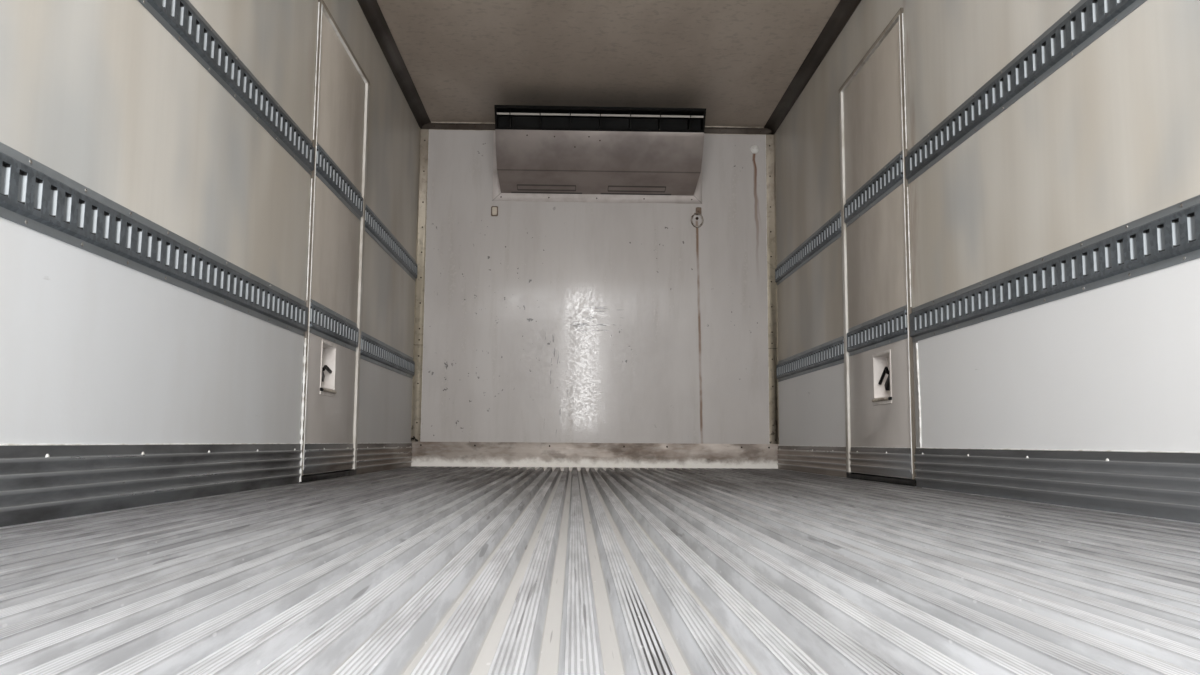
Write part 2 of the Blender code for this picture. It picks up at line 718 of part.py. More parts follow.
# Condenser housing: a moulded nose unit, round at its corners, with a deep recess for the fans.
unit_high = ceiling - UNIT_DROP
unit_low = unit_high - UNIT_HEIGHT
unit_back = nose_y + TOUCH
unit_front = nose_y + UNIT_DEPTH
chin_back, chin_up = UNIT_CHIN
unit_side = [(unit_back, unit_low), (unit_front - chin_back, unit_low), (unit_front, unit_low + chin_up)]
unit_side += arc((unit_front - UNIT_BROW, unit_high - UNIT_BROW), UNIT_BROW, 0, 90, UNIT_STEPS)
unit_side.append((unit_back, unit_high))
half_unit = UNIT_WIDTH / 2
unit_plan = [(-half_unit, unit_back - CUT_OVER), (half_unit, unit_back - CUT_OVER)]
unit_plan += arc((half_unit - UNIT_CORNER, unit_front - UNIT_CORNER), UNIT_CORNER, 0, 90, UNIT_STEPS)
unit_plan += arc((UNIT_CORNER - half_unit, unit_front - UNIT_CORNER), UNIT_CORNER, 90, 180, UNIT_STEPS)
grille_width, grille_height = GRILLE_SIZE
grille_z = unit_low + GRILLE_UP
recess_back = unit_front - GRILLE_DEPTH
hub_radius, hub_depth = FAN_HUB
fan_y = unit_front - FAN_BACK
motors = [
    rod(
        (side * FAN_X, recess_back - WELD, grille_z), (side * FAN_X, fan_y - hub_depth / 2 - TOUCH, grille_z),
        MOTOR_RADIUS, HUB_SIDES,
    )
    for _, side in SIDES
]
mouth = box(
    (-grille_width / 2, recess_back, grille_z - grille_height / 2),
    (grille_width / 2, unit_front + CUT_OVER, grille_z + grille_height / 2),
)
housing = node(
    "condenser_housing",
    extrusion([unit_side], "X", -half_unit, half_unit),
    "white_skin",
    cuts=[[mouth]],
    joins=[motors],
)
plan = extrusion([unit_plan], "Z", unit_low - CUT_OVER, unit_high + CUT_OVER)
shape(housing, [plan], "INTERSECT", "condenser_plan")

# Condenser grille: a rim in the recess's mouth, crossed by level bars.
rim_outer = rectangle(
    TOUCH - grille_width / 2, grille_z - grille_height / 2 + TOUCH,
    grille_width / 2 - TOUCH, grille_z + grille_height / 2 - TOUCH,
)
rim_inner = rectangle(
    GRILLE_RIM - grille_width / 2, grille_z - grille_height / 2 + GRILLE_RIM,
    grille_width / 2 - GRILLE_RIM, grille_z + grille_height / 2 - GRILLE_RIM,
)
bar_thick, bar_depth = GRILLE_BAR
bar_back = unit_front - GRILLE_BAR_BACK
rim_front = unit_front - GRILLE_SET_BACK
bars = []
for i in range(GRILLE_BARS):
    bar_z = grille_z + grille_height * ((i + 1) / (GRILLE_BARS + 1) - 0.5)
    bars.append(
        box(
            (GRILLE_BAR_LAP - grille_width / 2, bar_back, bar_z - bar_thick / 2),
            (grille_width / 2 - GRILLE_BAR_LAP, bar_back + bar_depth, bar_z + bar_thick / 2),
        )
    )
node(
    "condenser_grille",
    extrusion([rim_outer, rim_inner], "Y", rim_front - GRILLE_RIM_DEPTH, rim_front),
    "black_plastic",
    joins=[bars],
)

# Condenser fans: five set blades on a hub, each carried by its motor in the recess.
blade_chord, blade_thick = FAN_BLADE
for label, side in SIDES:
    hub_pivot = pivot(f"condenser_fan_{label}_axis", (side * FAN_X, fan_y, grille_z))
    blades = []
    for i in range(FAN_BLADES):
        blade = box(
            (-blade_chord / 2, -blade_thick / 2, hub_radius - FAN_BLADE_LAP),
            (blade_chord / 2, blade_thick / 2, FAN_RADIUS),
        )
        blade.transform(
            Matrix.Rotation(2 * math.pi * i / FAN_BLADES, 4, "Y") @ Matrix.Rotation(FAN_PITCH, 4, "Z")
        )
        blades.append(blade)
    hub = rod((0, -hub_depth / 2, 0), (0, hub_depth / 2, 0), hub_radius, HUB_SIDES)
    node(f"condenser_fan_{label}", hub, "black_plastic", hub_pivot, joins=[blades])


def knuckle(radius, bore, reach, near, far):
    """A strap that ends in a ring round the pin at the origin. The strap runs towards -X,
    between two distances below the pin's axis."""
    start = 180 + math.degrees(math.asin(min(1.0, far / radius)))
    finish = 540 + math.degrees(math.asin(near / radius))
    ring = arc((0, 0), radius, start, finish, KNUCKLE_STEPS)
    eye = arc((0, 0), bore, 0, 360, KNUCKLE_STEPS)[1:]
    return [[(-reach, -far)] + ring + [(-reach, -near)], eye]


# Rear doors. Each is drawn closed about its pin, then turned back against the side wall.
pin_x = outer_x + PIN_OUT
pin_y = rear_y - DOOR_PROUD
leaf_low = floor_top + DOOR_RUN
leaf_high = doorway_top - DOOR_RUN
leaf_hinge = doorway_x - DOOR_RUN - pin_x
leaf_free = DOOR_MEET - pin_x
inset = GASKET + TOUCH
gasket_start = (DOOR_THICK - GASKET_DEPTH) / 2
bar_x = LOCK_BAR_INSET - pin_x
bar_y = -LOCK_BAR_OUT
bearing_width, bearing_height = LOCK_BEARING
handle_thick, handle_tall = LOCK_HANDLE_SECTION
hinge_heights = spread(floor_top + HINGE_INSET, doorway_top - HINGE_INSET, HINGE_COUNT)
bearing_heights = spread(
    floor_top + LOCK_BEARING_INSET, doorway_top - LOCK_BEARING_INSET, LOCK_BEARING_COUNT
)
for label, side in SIDES:
    hinge_pin = pivot(f"rear_door_{label}_pin", (side * pin_x, pin_y, 0), -side * math.pi / 2)
    panel = box((leaf_free + inset, 0, leaf_low + inset), (leaf_hinge - inset, DOOR_THICK, leaf_high - inset))
    straps = []
    for height in hinge_heights:
        loops = knuckle(KNUCKLE_RADIUS, PIN_RADIUS + PIN_RUN, STRAP_REACH, -STRAP_SUNK, STRAP_THICK)
        low = height - STRAP_HEIGHT / 2
        straps.append(mirrored(extrusion(loops, "Z", low, low + STRAP_HEIGHT), side))
    node(f"rear_door_{label}", mirrored(panel, side), "white_skin", hinge_pin, joins=[straps])

    ring = [
        rectangle(leaf_free, leaf_low, leaf_hinge, leaf_high),
        rectangle(leaf_free + GASKET, leaf_low + GASKET, leaf_hinge - GASKET, leaf_high - GASKET),
    ]
    seal = extrusion(ring, "Y", gasket_start, gasket_start + GASKET_DEPTH)
    node(f"rear_gasket_{label}", mirrored(seal, side), "rubber", hinge_pin)

    bar_ends = ((bar_x, bar_y, leaf_low - BAR_REACH), (bar_x, bar_y, leaf_high + BAR_REACH))
    bar = rod(*bar_ends, LOCK_BAR_RADIUS, BAR_SIDES)
    fittings = []
    for height in bearing_heights:
        low = height - bearing_height / 2
        fittings.append(
            box(
                (bar_x - bearing_width / 2, bar_y - STRAP_THICK, low),
                (bar_x + bearing_width / 2, -TOUCH, low + bearing_height),
            )
        )
    low = floor_top + LOCK_HANDLE_HEIGHT - handle_tall / 2
    fittings.append(
        box(
            (bar_x, bar_y - handle_thick / 2, low),
            (bar_x + LOCK_HANDLE_LENGTH, bar_y + handle_thick / 2, low + handle_tall),
        )
    )
    fittings = [mirrored(mesh, side) for mesh in fittings]
    node(f"rear_lock_bar_{label}", mirrored(bar, side), "stainless", hinge_pin, joins=[fittings])

# Rear frame: posts, header and sill in one welded ring, with the doorway through it.
# Each hinge is two lugs on the post's outer face and the pin that joins them. A pair of keeper
# lugs on the header and on the sill takes each lock bar's end when its door is closed.
doorway_loop = rectangle(-doorway_x, floor_top, doorway_x, doorway_top)
frame_loop = rectangle(-outer_x, cross_bottom, outer_x, roof_top)
frame_ring = extrusion([frame_loop, doorway_loop], "Y", rear_y, frame_front)
lug_loop = [(outer_x - WELD, rear_y + LUG_DEPTH), (outer_x - WELD, rear_y + WELD)]
lug_loop += arc((pin_x, pin_y), KNUCKLE_RADIUS, *LUG_SWEEP, LUG_STEPS)
keeper_thick, keeper_out, keeper_tall = KEEPER
keeper_gap = LOCK_BAR_RADIUS + KEEPER_RUN
keeper_lows = (floor_top - KEEPER_STEP - keeper_tall, doorway_top + KEEPER_STEP)
lugs = []
pins = []
for _, side in SIDES:
    for low in keeper_lows:
        for edge in (LOCK_BAR_INSET - keeper_gap - keeper_thick, LOCK_BAR_INSET + keeper_gap):
            keeper = box(
                (edge, rear_y - keeper_out, low), (edge + keeper_thick, rear_y + WELD, low + keeper_tall)
            )
            lugs.append(mirrored(keeper, side))
    for middle in hinge_heights:
        for end in (-1, 1):
            inner = middle + end * (STRAP_HEIGHT / 2 + LUG_RUN)
            low, high = sorted((inner, inner + end * LUG))
            lugs.append(mirrored(extrusion([lug_loop], "Z", low, high), side))
        reach = STRAP_HEIGHT / 2 + LUG_RUN + LUG / 2
        pin = rod((pin_x, pin_y, middle - reach), (pin_x, pin_y, middle + reach), PIN_RADIUS, PIN_SIDES)
        pins.append(mirrored(pin, side))
node("rear_frame", frame_ring, "frame_steel", joins=[lugs, pins])

# Side doors. Each is drawn for the right wall about its pin at the front edge.
side_leaf_top = side_top - SIDE_FRAME - DOOR_RUN
side_leaf_low = floor_top + SIDE_FRAME + DOOR_RUN
side_leaf_front = side_front - SIDE_FRAME_FRONT - DOOR_RUN
side_leaf_back = side_back + SIDE_FRAME + SIDE_FREE_RUN
side_pin_y = side_front - (SIDE_FRAME_FRONT + DOOR_RUN) / 2
side_pin_x = outer_x + SIDE_PIN_OUT
side_bar_x = outer_x + SIDE_BAR_OUT
side_bar_y = side_leaf_back + SIDE_BAR_INSET
trim_start = side_leaf_back + DOOR_TRIM_INSET
trim_end = side_leaf_front - DOOR_TRIM_INSET
tray_x = inner_x + RECESS_DEPTH - RECESS_SHEET
half_run, half_rise = (size / 2 for size in RECESS_SIZE)
side_hinge_heights = spread(
    floor_top + SIDE_HINGE_INSET, side_top - SIDE_HINGE_INSET, SIDE_HINGE_COUNT
)
side_bearing_heights = spread(
    floor_top + SIDE_BEARING_INSET, side_top - SIDE_BEARING_INSET, SIDE_BEARING_COUNT
)


def on_side_pin(mesh, side):
    """From the body's frame on the right side to the pin's frame on this side."""
    mesh.transform(Matrix.Translation((-side_pin_x, -side_pin_y, 0)))
    return mirrored(mesh, side)


for label, side in SIDES:
    side_pin = pivot(f"side_door_{label}_pin", (side * side_pin_x, side_pin_y, 0))
    from_bulkhead, recess_height = RECESS_PLACES[label]
    recess_y = bulkhead_y - from_bulkhead
    recess_z = floor_top + recess_height
    leaf = box((inner_x, side_leaf_back, side_leaf_low), (outer_x, side_leaf_front, side_leaf_top))
    pocket = box(
        (inner_x - RECESS_DEPTH, recess_y - half_run, recess_z - half_rise),
        (inner_x + RECESS_DEPTH, recess_y + half_run, recess_z + half_rise),
    )
    straps = []
    for height in side_hinge_heights:
        loops = knuckle(
            SIDE_KNUCKLE_RADIUS, SIDE_PIN_RADIUS + PIN_RUN, SIDE_STRAP_REACH,
            SIDE_PIN_OUT - SIDE_STRAP_THICK, SIDE_PIN_OUT + STRAP_SUNK,
        )
        loops = [[(y, x) for x, y in loop] for loop in loops]
        low = height - STRAP_HEIGHT / 2
        straps.append(mirrored(extrusion(loops, "Z", low, low + STRAP_HEIGHT), side))
    node(
        f"side_door_{label}", on_side_pin(leaf, side), "liner", side_pin,
        cuts=[[on_side_pin(pocket, side)]], joins=[straps],
    )

    # Handle recess: a folded tray in the leaf's inner face, with the release lever on its floor.
    tray_run, tray_rise = half_run - TOUCH, half_rise - TOUCH
    tray = box(
        (inner_x - TRIM_SHEET, recess_y - tray_run, recess_z - tray_rise),
        (inner_x + RECESS_DEPTH - TOUCH, recess_y + tray_run, recess_z + tray_rise),
    )
    hollow_run, hollow_rise = half_run - RECESS_RIM, half_rise - RECESS_RIM
    hollow = box(
        (inner_x - RECESS_DEPTH, recess_y - hollow_run, recess_z - half_rise + RECESS_SILL),
        (tray_x, recess_y + hollow_run, recess_z + hollow_rise),
    )
    lever_place = Matrix.Translation((0, recess_y - LEVER_BACK, recess_z + LEVER_UP))
    lever_turn = lever_place @ Matrix.Rotation(LEVER_SLOPE, 4, "X")
    lever_thick, lever_tall = LEVER_SECTION
    boss = rod((tray_x - LEVER_OUT, 0, 0), (tray_x + WELD / 2, 0, 0), LEVER_BOSS, BAR_SIDES)
    arm = box(
        (tray_x - LEVER_OUT - WELD, -LEVER_BOSS / 2, -lever_tall / 2),
        (tray_x - LEVER_OUT - WELD + lever_thick, LEVER_LENGTH, lever_tall / 2),
    )
    for mesh in (boss, arm):
        mesh.transform(lever_turn)
    node(
        f"handle_recess_{label}", on_side_pin(tray, side), "white_skin", side_pin,
        cuts=[[on_side_pin(hollow, side)]], joins=[[on_side_pin(boss, side)], [on_side_pin(arm, side)]],
    )

    for row, rail_height in RAIL_ROWS.items():
        rail_z = floor_top + rail_height + DOOR_RAIL_LIFT
        rail = extrusion([rail_section(rail_z)], "Y", trim_start, trim_end)
        slots = [on_side_pin(slot, side) for slot in rail_slots(rail_z, trim_start, trim_end)]
        node(f"side_door_rail_{label}_{row}", on_side_pin(rail, side), "galvanised", side_pin, cuts=[slots])
    scuff = extrusion([scuff_section(floor_top + DOOR_SCUFF_BOTTOM)], "Y", trim_start, trim_end)
    node(f"side_door_scuff_{label}", on_side_pin(scuff, side), "aluminium", side_pin)

    bar_low = side_leaf_low - SIDE_BAR_REACH
    bar_high = side_leaf_top + SIDE_BAR_REACH
    bar_ends = ((side_bar_x, side_bar_y, bar_low), (side_bar_x, side_bar_y, bar_high))
    bar = rod(*bar_ends, SIDE_BAR_RADIUS, BAR_SIDES)
    bearing_width, bearing_height = SIDE_BEARING
    fittings = []
    for height in side_bearing_heights:
        low = height - bearing_height / 2
        fittings.append(
            box(
                (outer_x + TOUCH, side_bar_y - bearing_width / 2, low),
                (side_bar_x + SIDE_STRAP_THICK, side_bar_y + bearing_width / 2, low + bearing_height),
            )
        )
    handle_thick, handle_tall = SIDE_HANDLE_SECTION
    low = floor_top + SIDE_HANDLE_HEIGHT - handle_tall / 2
    fittings.append(
        box(
            (side_bar_x - handle_thick / 2, side_bar_y, low),
            (side_bar_x + handle_thick / 2, side_bar_y + SIDE_HANDLE_LENGTH, low + handle_tall),
        )
    )
    fittings = [on_side_pin(mesh, side) for mesh in fittings]
    node(f"side_lock_bar_{label}", on_side_pin(bar, side), "stainless", side_pin, joins=[fittings])

# Side doorway frames: a lining through the wall, wider on its hinge side, with the hinges' lugs
# and pins there, and keeper lugs for the lock bar's ends above and below the leaf.
frame_loops = [
    rectangle(side_back + TOUCH, floor_top + TOUCH, side_front - TOUCH, side_top - TOUCH),
    rectangle(
        side_back + SIDE_FRAME, floor_top + SIDE_FRAME, side_front - SIDE_FRAME_FRONT, side_top - SIDE_FRAME
    ),
]
side_keeper_thick, side_keeper_out, side_keeper_tall = SIDE_KEEPER
side_keeper_gap = SIDE_BAR_RADIUS + KEEPER_RUN
lug_root = outer_x - SIDE_FRAME_BACK - WELD
lug_loop = [
    (lug_root, side_front - SIDE_FRAME_FRONT + 2 * WELD), (lug_root, side_front - WELD),
    (rail_out, side_front - WELD), (rail_out, side_front + SIDE_LUG_REACH),
    (rail_out + SIDE_LUG_THICK, side_front + SIDE_LUG_REACH),
]
lug_loop += arc((side_pin_x, side_pin_y), SIDE_KNUCKLE_RADIUS, *SIDE_LUG_SWEEP, LUG_STEPS)
for label, side in SIDES:
    low, high = sorted((side * (inner_x - SIDE_FRAME_PROUD), side * (outer_x - SIDE_FRAME_BACK)))
    lining = extrusion(frame_loops, "X", low, high)
    lugs = []
    pins = []
    for middle_z in (floor_top + SIDE_FRAME / 2, side_top - SIDE_FRAME / 2):
        for edge in (side_bar_y - side_keeper_gap - side_keeper_thick, side_bar_y + side_keeper_gap):
            keeper = box(
                (lug_root, edge, middle_z - side_keeper_tall / 2),
                (outer_x + side_keeper_out, edge + side_keeper_thick, middle_z + side_keeper_tall / 2),
            )
            lugs.append(mirrored(keeper, side))
    for middle in side_hinge_heights:
        for end in (-1, 1):
            inner = middle + end * (STRAP_HEIGHT / 2 + LUG_RUN)
            low, high = sorted((inner, inner + end * LUG))
            lugs.append(mirrored(extrusion([lug_loop], "Z", low, high), side))
        reach = STRAP_HEIGHT / 2 + LUG_RUN + LUG / 2
        pin = rod(
            (side_pin_x, side_pin_y, middle - reach), (side_pin_x, side_pin_y, middle + reach),
            SIDE_PIN_RADIUS, PIN_SIDES,
        )
        pins.append(mirrored(pin, side))
    node(f"side_door_frame_{label}", lining, "white_skin", joins=[lugs, pins])

# What the rear sill carries: rubber dock bumpers, and tail lamps in pairs on a plate.
sill_middle = (cross_bottom + floor_top) / 2
bumper_width, bumper_height = BUMPER_SIZE
bumper_x = outer_x - BUMPER_INSET
lamp_places = [outer_x - lamp_inset for lamp_inset in LAMP_INSETS]
for label, side in SIDES:
    bumper = box(
        (bumper_x - bumper_width / 2, rear_y - BUMPER_DEPTH, sill_middle - bumper_height / 2),
        (bumper_x + bumper_width / 2, rear_y - TOUCH, sill_middle + bumper_height / 2),
    )
    node(f"dock_bumper_{label}", mirrored(bumper, side), "rubber")
    plate = box(
        (lamp_places[0] - LAMP_RADIUS, rear_y - LAMP_PLATE, sill_middle - LAMP_RADIUS),
        (lamp_places[1] + LAMP_RADIUS, rear_y - TOUCH, sill_middle + LAMP_RADIUS),
    )
    lamps = []
    for x in lamp_places:
        ends = ((x, rear_y - LAMP_DEPTH, sill_middle), (x, rear_y - WELD, sill_middle))
        lamps.append(mirrored(rod(*ends, LAMP_RADIUS - WELD, LAMP_SIDES), side))
    node(f"tail_lamps_{label}", mirrored(plate, side), "lamp_red", joins=[lamps])

bpy.context.view_layer.update()
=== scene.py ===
import math
import random

import bmesh
import bpy
from mathutils import Matrix, Vector


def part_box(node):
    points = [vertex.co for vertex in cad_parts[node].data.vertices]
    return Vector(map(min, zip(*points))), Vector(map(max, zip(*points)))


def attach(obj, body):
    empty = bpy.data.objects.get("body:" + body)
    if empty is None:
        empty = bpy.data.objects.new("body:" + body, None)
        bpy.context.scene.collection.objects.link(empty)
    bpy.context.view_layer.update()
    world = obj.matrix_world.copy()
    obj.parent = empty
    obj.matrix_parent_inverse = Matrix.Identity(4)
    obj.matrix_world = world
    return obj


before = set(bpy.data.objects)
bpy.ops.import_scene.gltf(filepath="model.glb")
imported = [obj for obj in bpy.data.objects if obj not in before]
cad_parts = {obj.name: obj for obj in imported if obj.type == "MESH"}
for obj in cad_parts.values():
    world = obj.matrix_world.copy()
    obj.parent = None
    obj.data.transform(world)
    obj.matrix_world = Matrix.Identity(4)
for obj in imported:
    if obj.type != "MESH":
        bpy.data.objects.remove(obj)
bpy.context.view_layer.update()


# Underframe
# Two long folded sills and a row of light crossmembers, welded up from steel channel and sprayed
# dark grey, with road dust on the ledges and rust starting along the lower edges.
class Coat:
    """A value that changes over a surface, so that sums of masks read as plain arithmetic."""

    def __init__(self, finish, socket):
        self.finish = finish
        self.socket = socket

    def worked(self, operation, first, second=0.0):
        return self.finish.node("ShaderNodeMath", {"operation": operation}, {0: first, 1: second})

    def __add__(self, other):
        return self.worked("ADD", self, other)

    __radd__ = __add__

    def __sub__(self, other):
        return self.worked("SUBTRACT", self, other)

    def __rsub__(self, other):
        return self.worked("SUBTRACT", other, self)

    def __mul__(self, other):
        return self.worked("MULTIPLY", self, other)

    __rmul__ = __mul__

    def __truediv__(self, other):
        return self.worked("DIVIDE", self, other)

    def __abs__(self):
        return self.worked("ABSOLUTE", self)


class Finish:
    """One finish of the body: its shader, and the patterns that change over it."""

    def __init__(self, name, metal=0.0, rough=0.5, fixed=None):
        self.material = bpy.data.materials.new(name)
        self.material.use_nodes = True
        self.shader = self.material.node_tree.nodes["Principled BSDF"]
        self.shader.inputs["Metallic"].default_value = metal
        self.shader.inputs["Roughness"].default_value = rough
        for socket, value in (fixed or {}).items():
            self.shader.inputs[socket].default_value = value
        self.place = self.node("ShaderNodeTexCoord", {}, {}, "Object")
        self.x, self.y, self.z = (
            self.node("ShaderNodeSeparateXYZ", {}, {0: self.place}, axis) for axis in "XYZ"
        )
        self.out = abs(self.x)

    def node(self, kind, settings, sockets, output=0):
        made = self.material.node_tree.nodes.new(kind)
        for setting, value in settings.items():
            setattr(made, setting, value)
        for socket, value in sockets.items():
            if isinstance(value, Coat):
                self.material.node_tree.links.new(value.socket, made.inputs[socket])
            else:
                made.inputs[socket].default_value = value
        return Coat(self, made.outputs[output])

    def rise(self, value, low, high, start=0.0, end=1.0):
        """Goes smoothly from start to end while the value goes from low to high."""
        return self.node(
            "ShaderNodeMapRange", {"interpolation_type": "SMOOTHSTEP"},
            {0: value, 1: low, 2: high, 3: start, 4: end},
        )

    def near(self, value, middle, half, soft):
        """Is 1 within half of the middle, and falls to 0 over the soft edge beyond."""
        return self.rise(abs(value - middle), half, half + soft, 1.0, 0.0)

    def grain(self, scale, stretch=(1, 1, 1), detail=4.0, rough=0.6):
        held = self.node("ShaderNodeVectorMath", {"operation": "MULTIPLY"}, {0: self.place, 1: stretch})
        return self.node(
            "ShaderNodeTexNoise", {},
            {"Vector": held, "Scale": scale, "Detail": detail, "Roughness": rough},
        )

    def patches(self, low, high, *grain, **more):
        """Is 0 where the grain is under low and 1 where it is over high."""
        return self.rise(self.grain(*grain, **more), low, high)

    def flakes(self, scale, stretch=(1, 1, 1), output="Color"):
        held = self.node("ShaderNodeVectorMath", {"operation": "MULTIPLY"}, {0: self.place, 1: stretch})
        return self.node("ShaderNodeTexVoronoi", {}, {"Vector": held, "Scale": scale}, output)

    def blend(self, mask, first, second):
        return self.node(
            "ShaderNodeMix", {"data_type": "RGBA"}, {0: mask, 6: first, 7: second}, 2
        )

    def layered(self, tone, coats):
        """Lays colours over a tone in turn, each where its mask says."""
        for mask, colour in coats:
            tone = self.blend(mask, tone, paint(*colour))
        return tone

    def feed(self, socket, value):
        self.material.node_tree.links.new(value.socket, self.shader.inputs[socket])

    def emboss(self, height, distance, strength=1.0):
        raised = self.node(
            "ShaderNodeBump", {}, {"Height": height, "Distance": distance, "Strength": strength}
        )
        self.feed("Normal", raised)


def paint(red, green, blue):
    """A colour as a paint chart gives it, from 0 to 255, on the shader's own scale."""
    chart = [value / 255 for value in (red, green, blue)]
    return (*[v / 12.92 if v < 0.04 else ((v + 0.055) / 1.055) ** 2.4 for v in chart], 1.0)


def dress(finish, *nodes, edge=0.0, turned=40):
    """Gives nodes their finish, and where edge is set, rounds their sharp edges by that much."""
    for name in nodes:
        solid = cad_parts[name]
        solid.data.materials.clear()
        solid.data.materials.append(finish.material)
        if edge:
            solid.data.polygons.foreach_set("use_smooth", [True] * len(solid.data.polygons))
            joined = solid.modifiers.new("joined corners", "WELD")
            joined.merge_threshold = 0.00002
            rounded = solid.modifiers.new("rounded edges", "BEVEL")
            rounded.width = edge
            rounded.segments = 2
            rounded.limit_method = "ANGLE"
            rounded.angle_limit = math.radians(turned)
            rounded.harden_normals = True


RUST_HEIGHT = 0.09
frame_paint = Finish("frame_paint", rough=0.55)
dust = frame_paint.patches(0.42, 0.7, 3.0, (1, 1, 2.5))
rust = frame_paint.patches(0.6, 0.72, 14.0)
rust = rust * frame_paint.rise(frame_paint.z, 0.0, RUST_HEIGHT, 1.0, 0.25)
tone = frame_paint.blend(dust, paint(48, 50, 53), paint(86, 82, 76))
frame_paint.feed("Base Color", frame_paint.blend(rust, tone, paint(104, 66, 44)))
frame_paint.feed("Roughness", 0.42 + 0.3 * dust)
frame_paint.emboss(frame_paint.grain(180.0) + rust, 0.0004)
dress(frame_paint, "underframe", edge=0.0012)


# Floor slab
# A foam slab between glued plywood skins, closed below by a grey plastic sheet. It lies on the
# crossmembers, and only its edges and underside show.
under_sheet = Finish("under_sheet", rough=0.6)
dirty = under_sheet.patches(0.35, 0.7, 2.2)
under_sheet.feed("Base Color", under_sheet.blend(dirty, paint(158, 160, 160), paint(112, 107, 99)))
under_sheet.feed("Roughness", 0.5 + 0.25 * dirty)
under_sheet.emboss(under_sheet.grain(260.0, detail=2.0), 0.0003)
dress(under_sheet, "floor_slab")


# Ribbed floor
# Extruded aluminium planks laid lengthwise, dulled and trodden. Five fine grooves run along each
# rib's top, and grit packs them black in places. The channels hold a pale film of dried water.
RIB_PITCH = 0.0508
GROOVE_PITCH = RIB_PITCH / 12
# The one rib packed black near the doorway: its middle, its half width, and where the grit ends.
PACKED_RIB = -0.067
PACKED_HALF = 0.013
PACKED_END = (-2.2, -1.9)
# Where the channels' painted highlight begins, short of the bulkhead: a painted reflection of the
# doorway's light.
CHANNEL_HIGHLIGHT_ENDS = (2.74, 2.8)
floor_low, floor_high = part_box("ribbed_floor")
floor_metal = Finish("floor_metal", metal=0.3, rough=0.5)
rib_top = floor_metal.rise(floor_metal.z, floor_high.z - 0.003, floor_high.z - 0.0006)
channel = floor_metal.rise(floor_metal.z, floor_low.z + 0.007, floor_low.z + 0.011, 1.0, 0.0)
plank = floor_metal.x.worked("FLOOR", floor_metal.x / RIB_PITCH)
plank_shade = floor_metal.node(
    "ShaderNodeTexWhiteNoise", {"noise_dimensions": "1D"}, {"W": plank}, "Value"
)
wave = floor_metal.x.worked("COSINE", floor_metal.x * (2 * math.pi / GROOVE_PITCH))
groove = floor_metal.rise(wave, 0.0, 0.85) * rib_top
# Towards the bulkhead the floor is painted darker, partly as dirt and partly as painted shade of the
# doorway's light falling off along the box.
far_dirt_and_shade = floor_metal.rise(floor_metal.y, -1.8, 1.6)
soil = floor_metal.patches(0.38, 0.68, 2.6, (3, 0.35, 1))
packed = floor_metal.near(floor_metal.x, PACKED_RIB, PACKED_HALF, 0.003)
packed = packed * floor_metal.rise(floor_metal.y, *PACKED_END, 1.0, 0.0)
mottle = floor_metal.patches(0.42, 0.62, 34.0, (1.8, 0.14, 1), detail=6.0)
aside = floor_metal.rise(floor_metal.out, 0.3, 1.05)
worn = floor_metal.patches(0.55, 0.66, 5.0, (5, 0.22, 1), detail=6.0) * rib_top
scratch = floor_metal.patches(0.66, 0.69, 9.0, (14, 0.3, 1), detail=2.0)
speck = floor_metal.rise(floor_metal.flakes(48.0, (1, 0.35, 1), "Distance"), 0.05, 0.1, 1.0, 0.0)
flank = (1.0 - rib_top) * (1.0 - channel)
# The channels' ends are painted near white and not metallic: a painted highlight.
channel_end_highlight = (1.0 - rib_top) * floor_metal.rise(floor_metal.y, *CHANNEL_HIGHLIGHT_ENDS)
channel_end_highlight = channel_end_highlight * (1.0 - 0.8 * aside)
tone = floor_metal.layered(paint(202, 204, 208), [
    (plank_shade, (226, 228, 232)),
    (soil * (0.2 + 0.3 * far_dirt_and_shade) + 0.62 * far_dirt_and_shade, (108, 102, 98)),
    (0.12 * flank, (240, 242, 244)),
    (0.5 * aside + 0.3 * mottle, (114, 114, 116)),
    (channel, (205, 204, 202)),
    (channel_end_highlight, (252, 248, 240)),
    (worn * 0.3, (238, 238, 240)),
    (scratch * 0.4, (78, 76, 76)),
    (groove * (0.26 + 0.7 * packed), (40, 38, 38)),
    (speck * 0.3, (248, 248, 250)),
])
floor_metal.feed("Base Color", tone)
floor_metal.feed("Metallic", 0.3 - 0.3 * channel_end_highlight)
floor_metal.feed("Roughness", 0.44 + 0.16 * soil - 0.1 * worn + 0.1 * channel)
floor_metal.emboss(floor_metal.grain(300.0, (1, 0.1, 1)) * 0.3 - groove, 0.0008, 0.9)
dress(floor_metal, "ribbed_floor")


# Side walls
# Sandwich panels, foam between glass-reinforced plastic skins: white gel coat outside, pale liner
# inside. Above the lower rail damp has stained the liner in broad upright bands, below it is clean.
DOORWAY_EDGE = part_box("side_door_frame_right")[0].y
# Within the panel's foam, where the liner's colour gives way to the outer skin's.
WALL_CORE = (1.165, 1.175)
# Behind the lower rail, where the stained liner meets the clean one.
LINER_JOINT = (0.93, 0.97)
wall_sheet = Finish("wall_sheet", rough=0.4)
inside = wall_sheet.rise(wall_sheet.out, *WALL_CORE, 1.0, 0.0)
upper = wall_sheet.rise(wall_sheet.z, *LINER_JOINT)
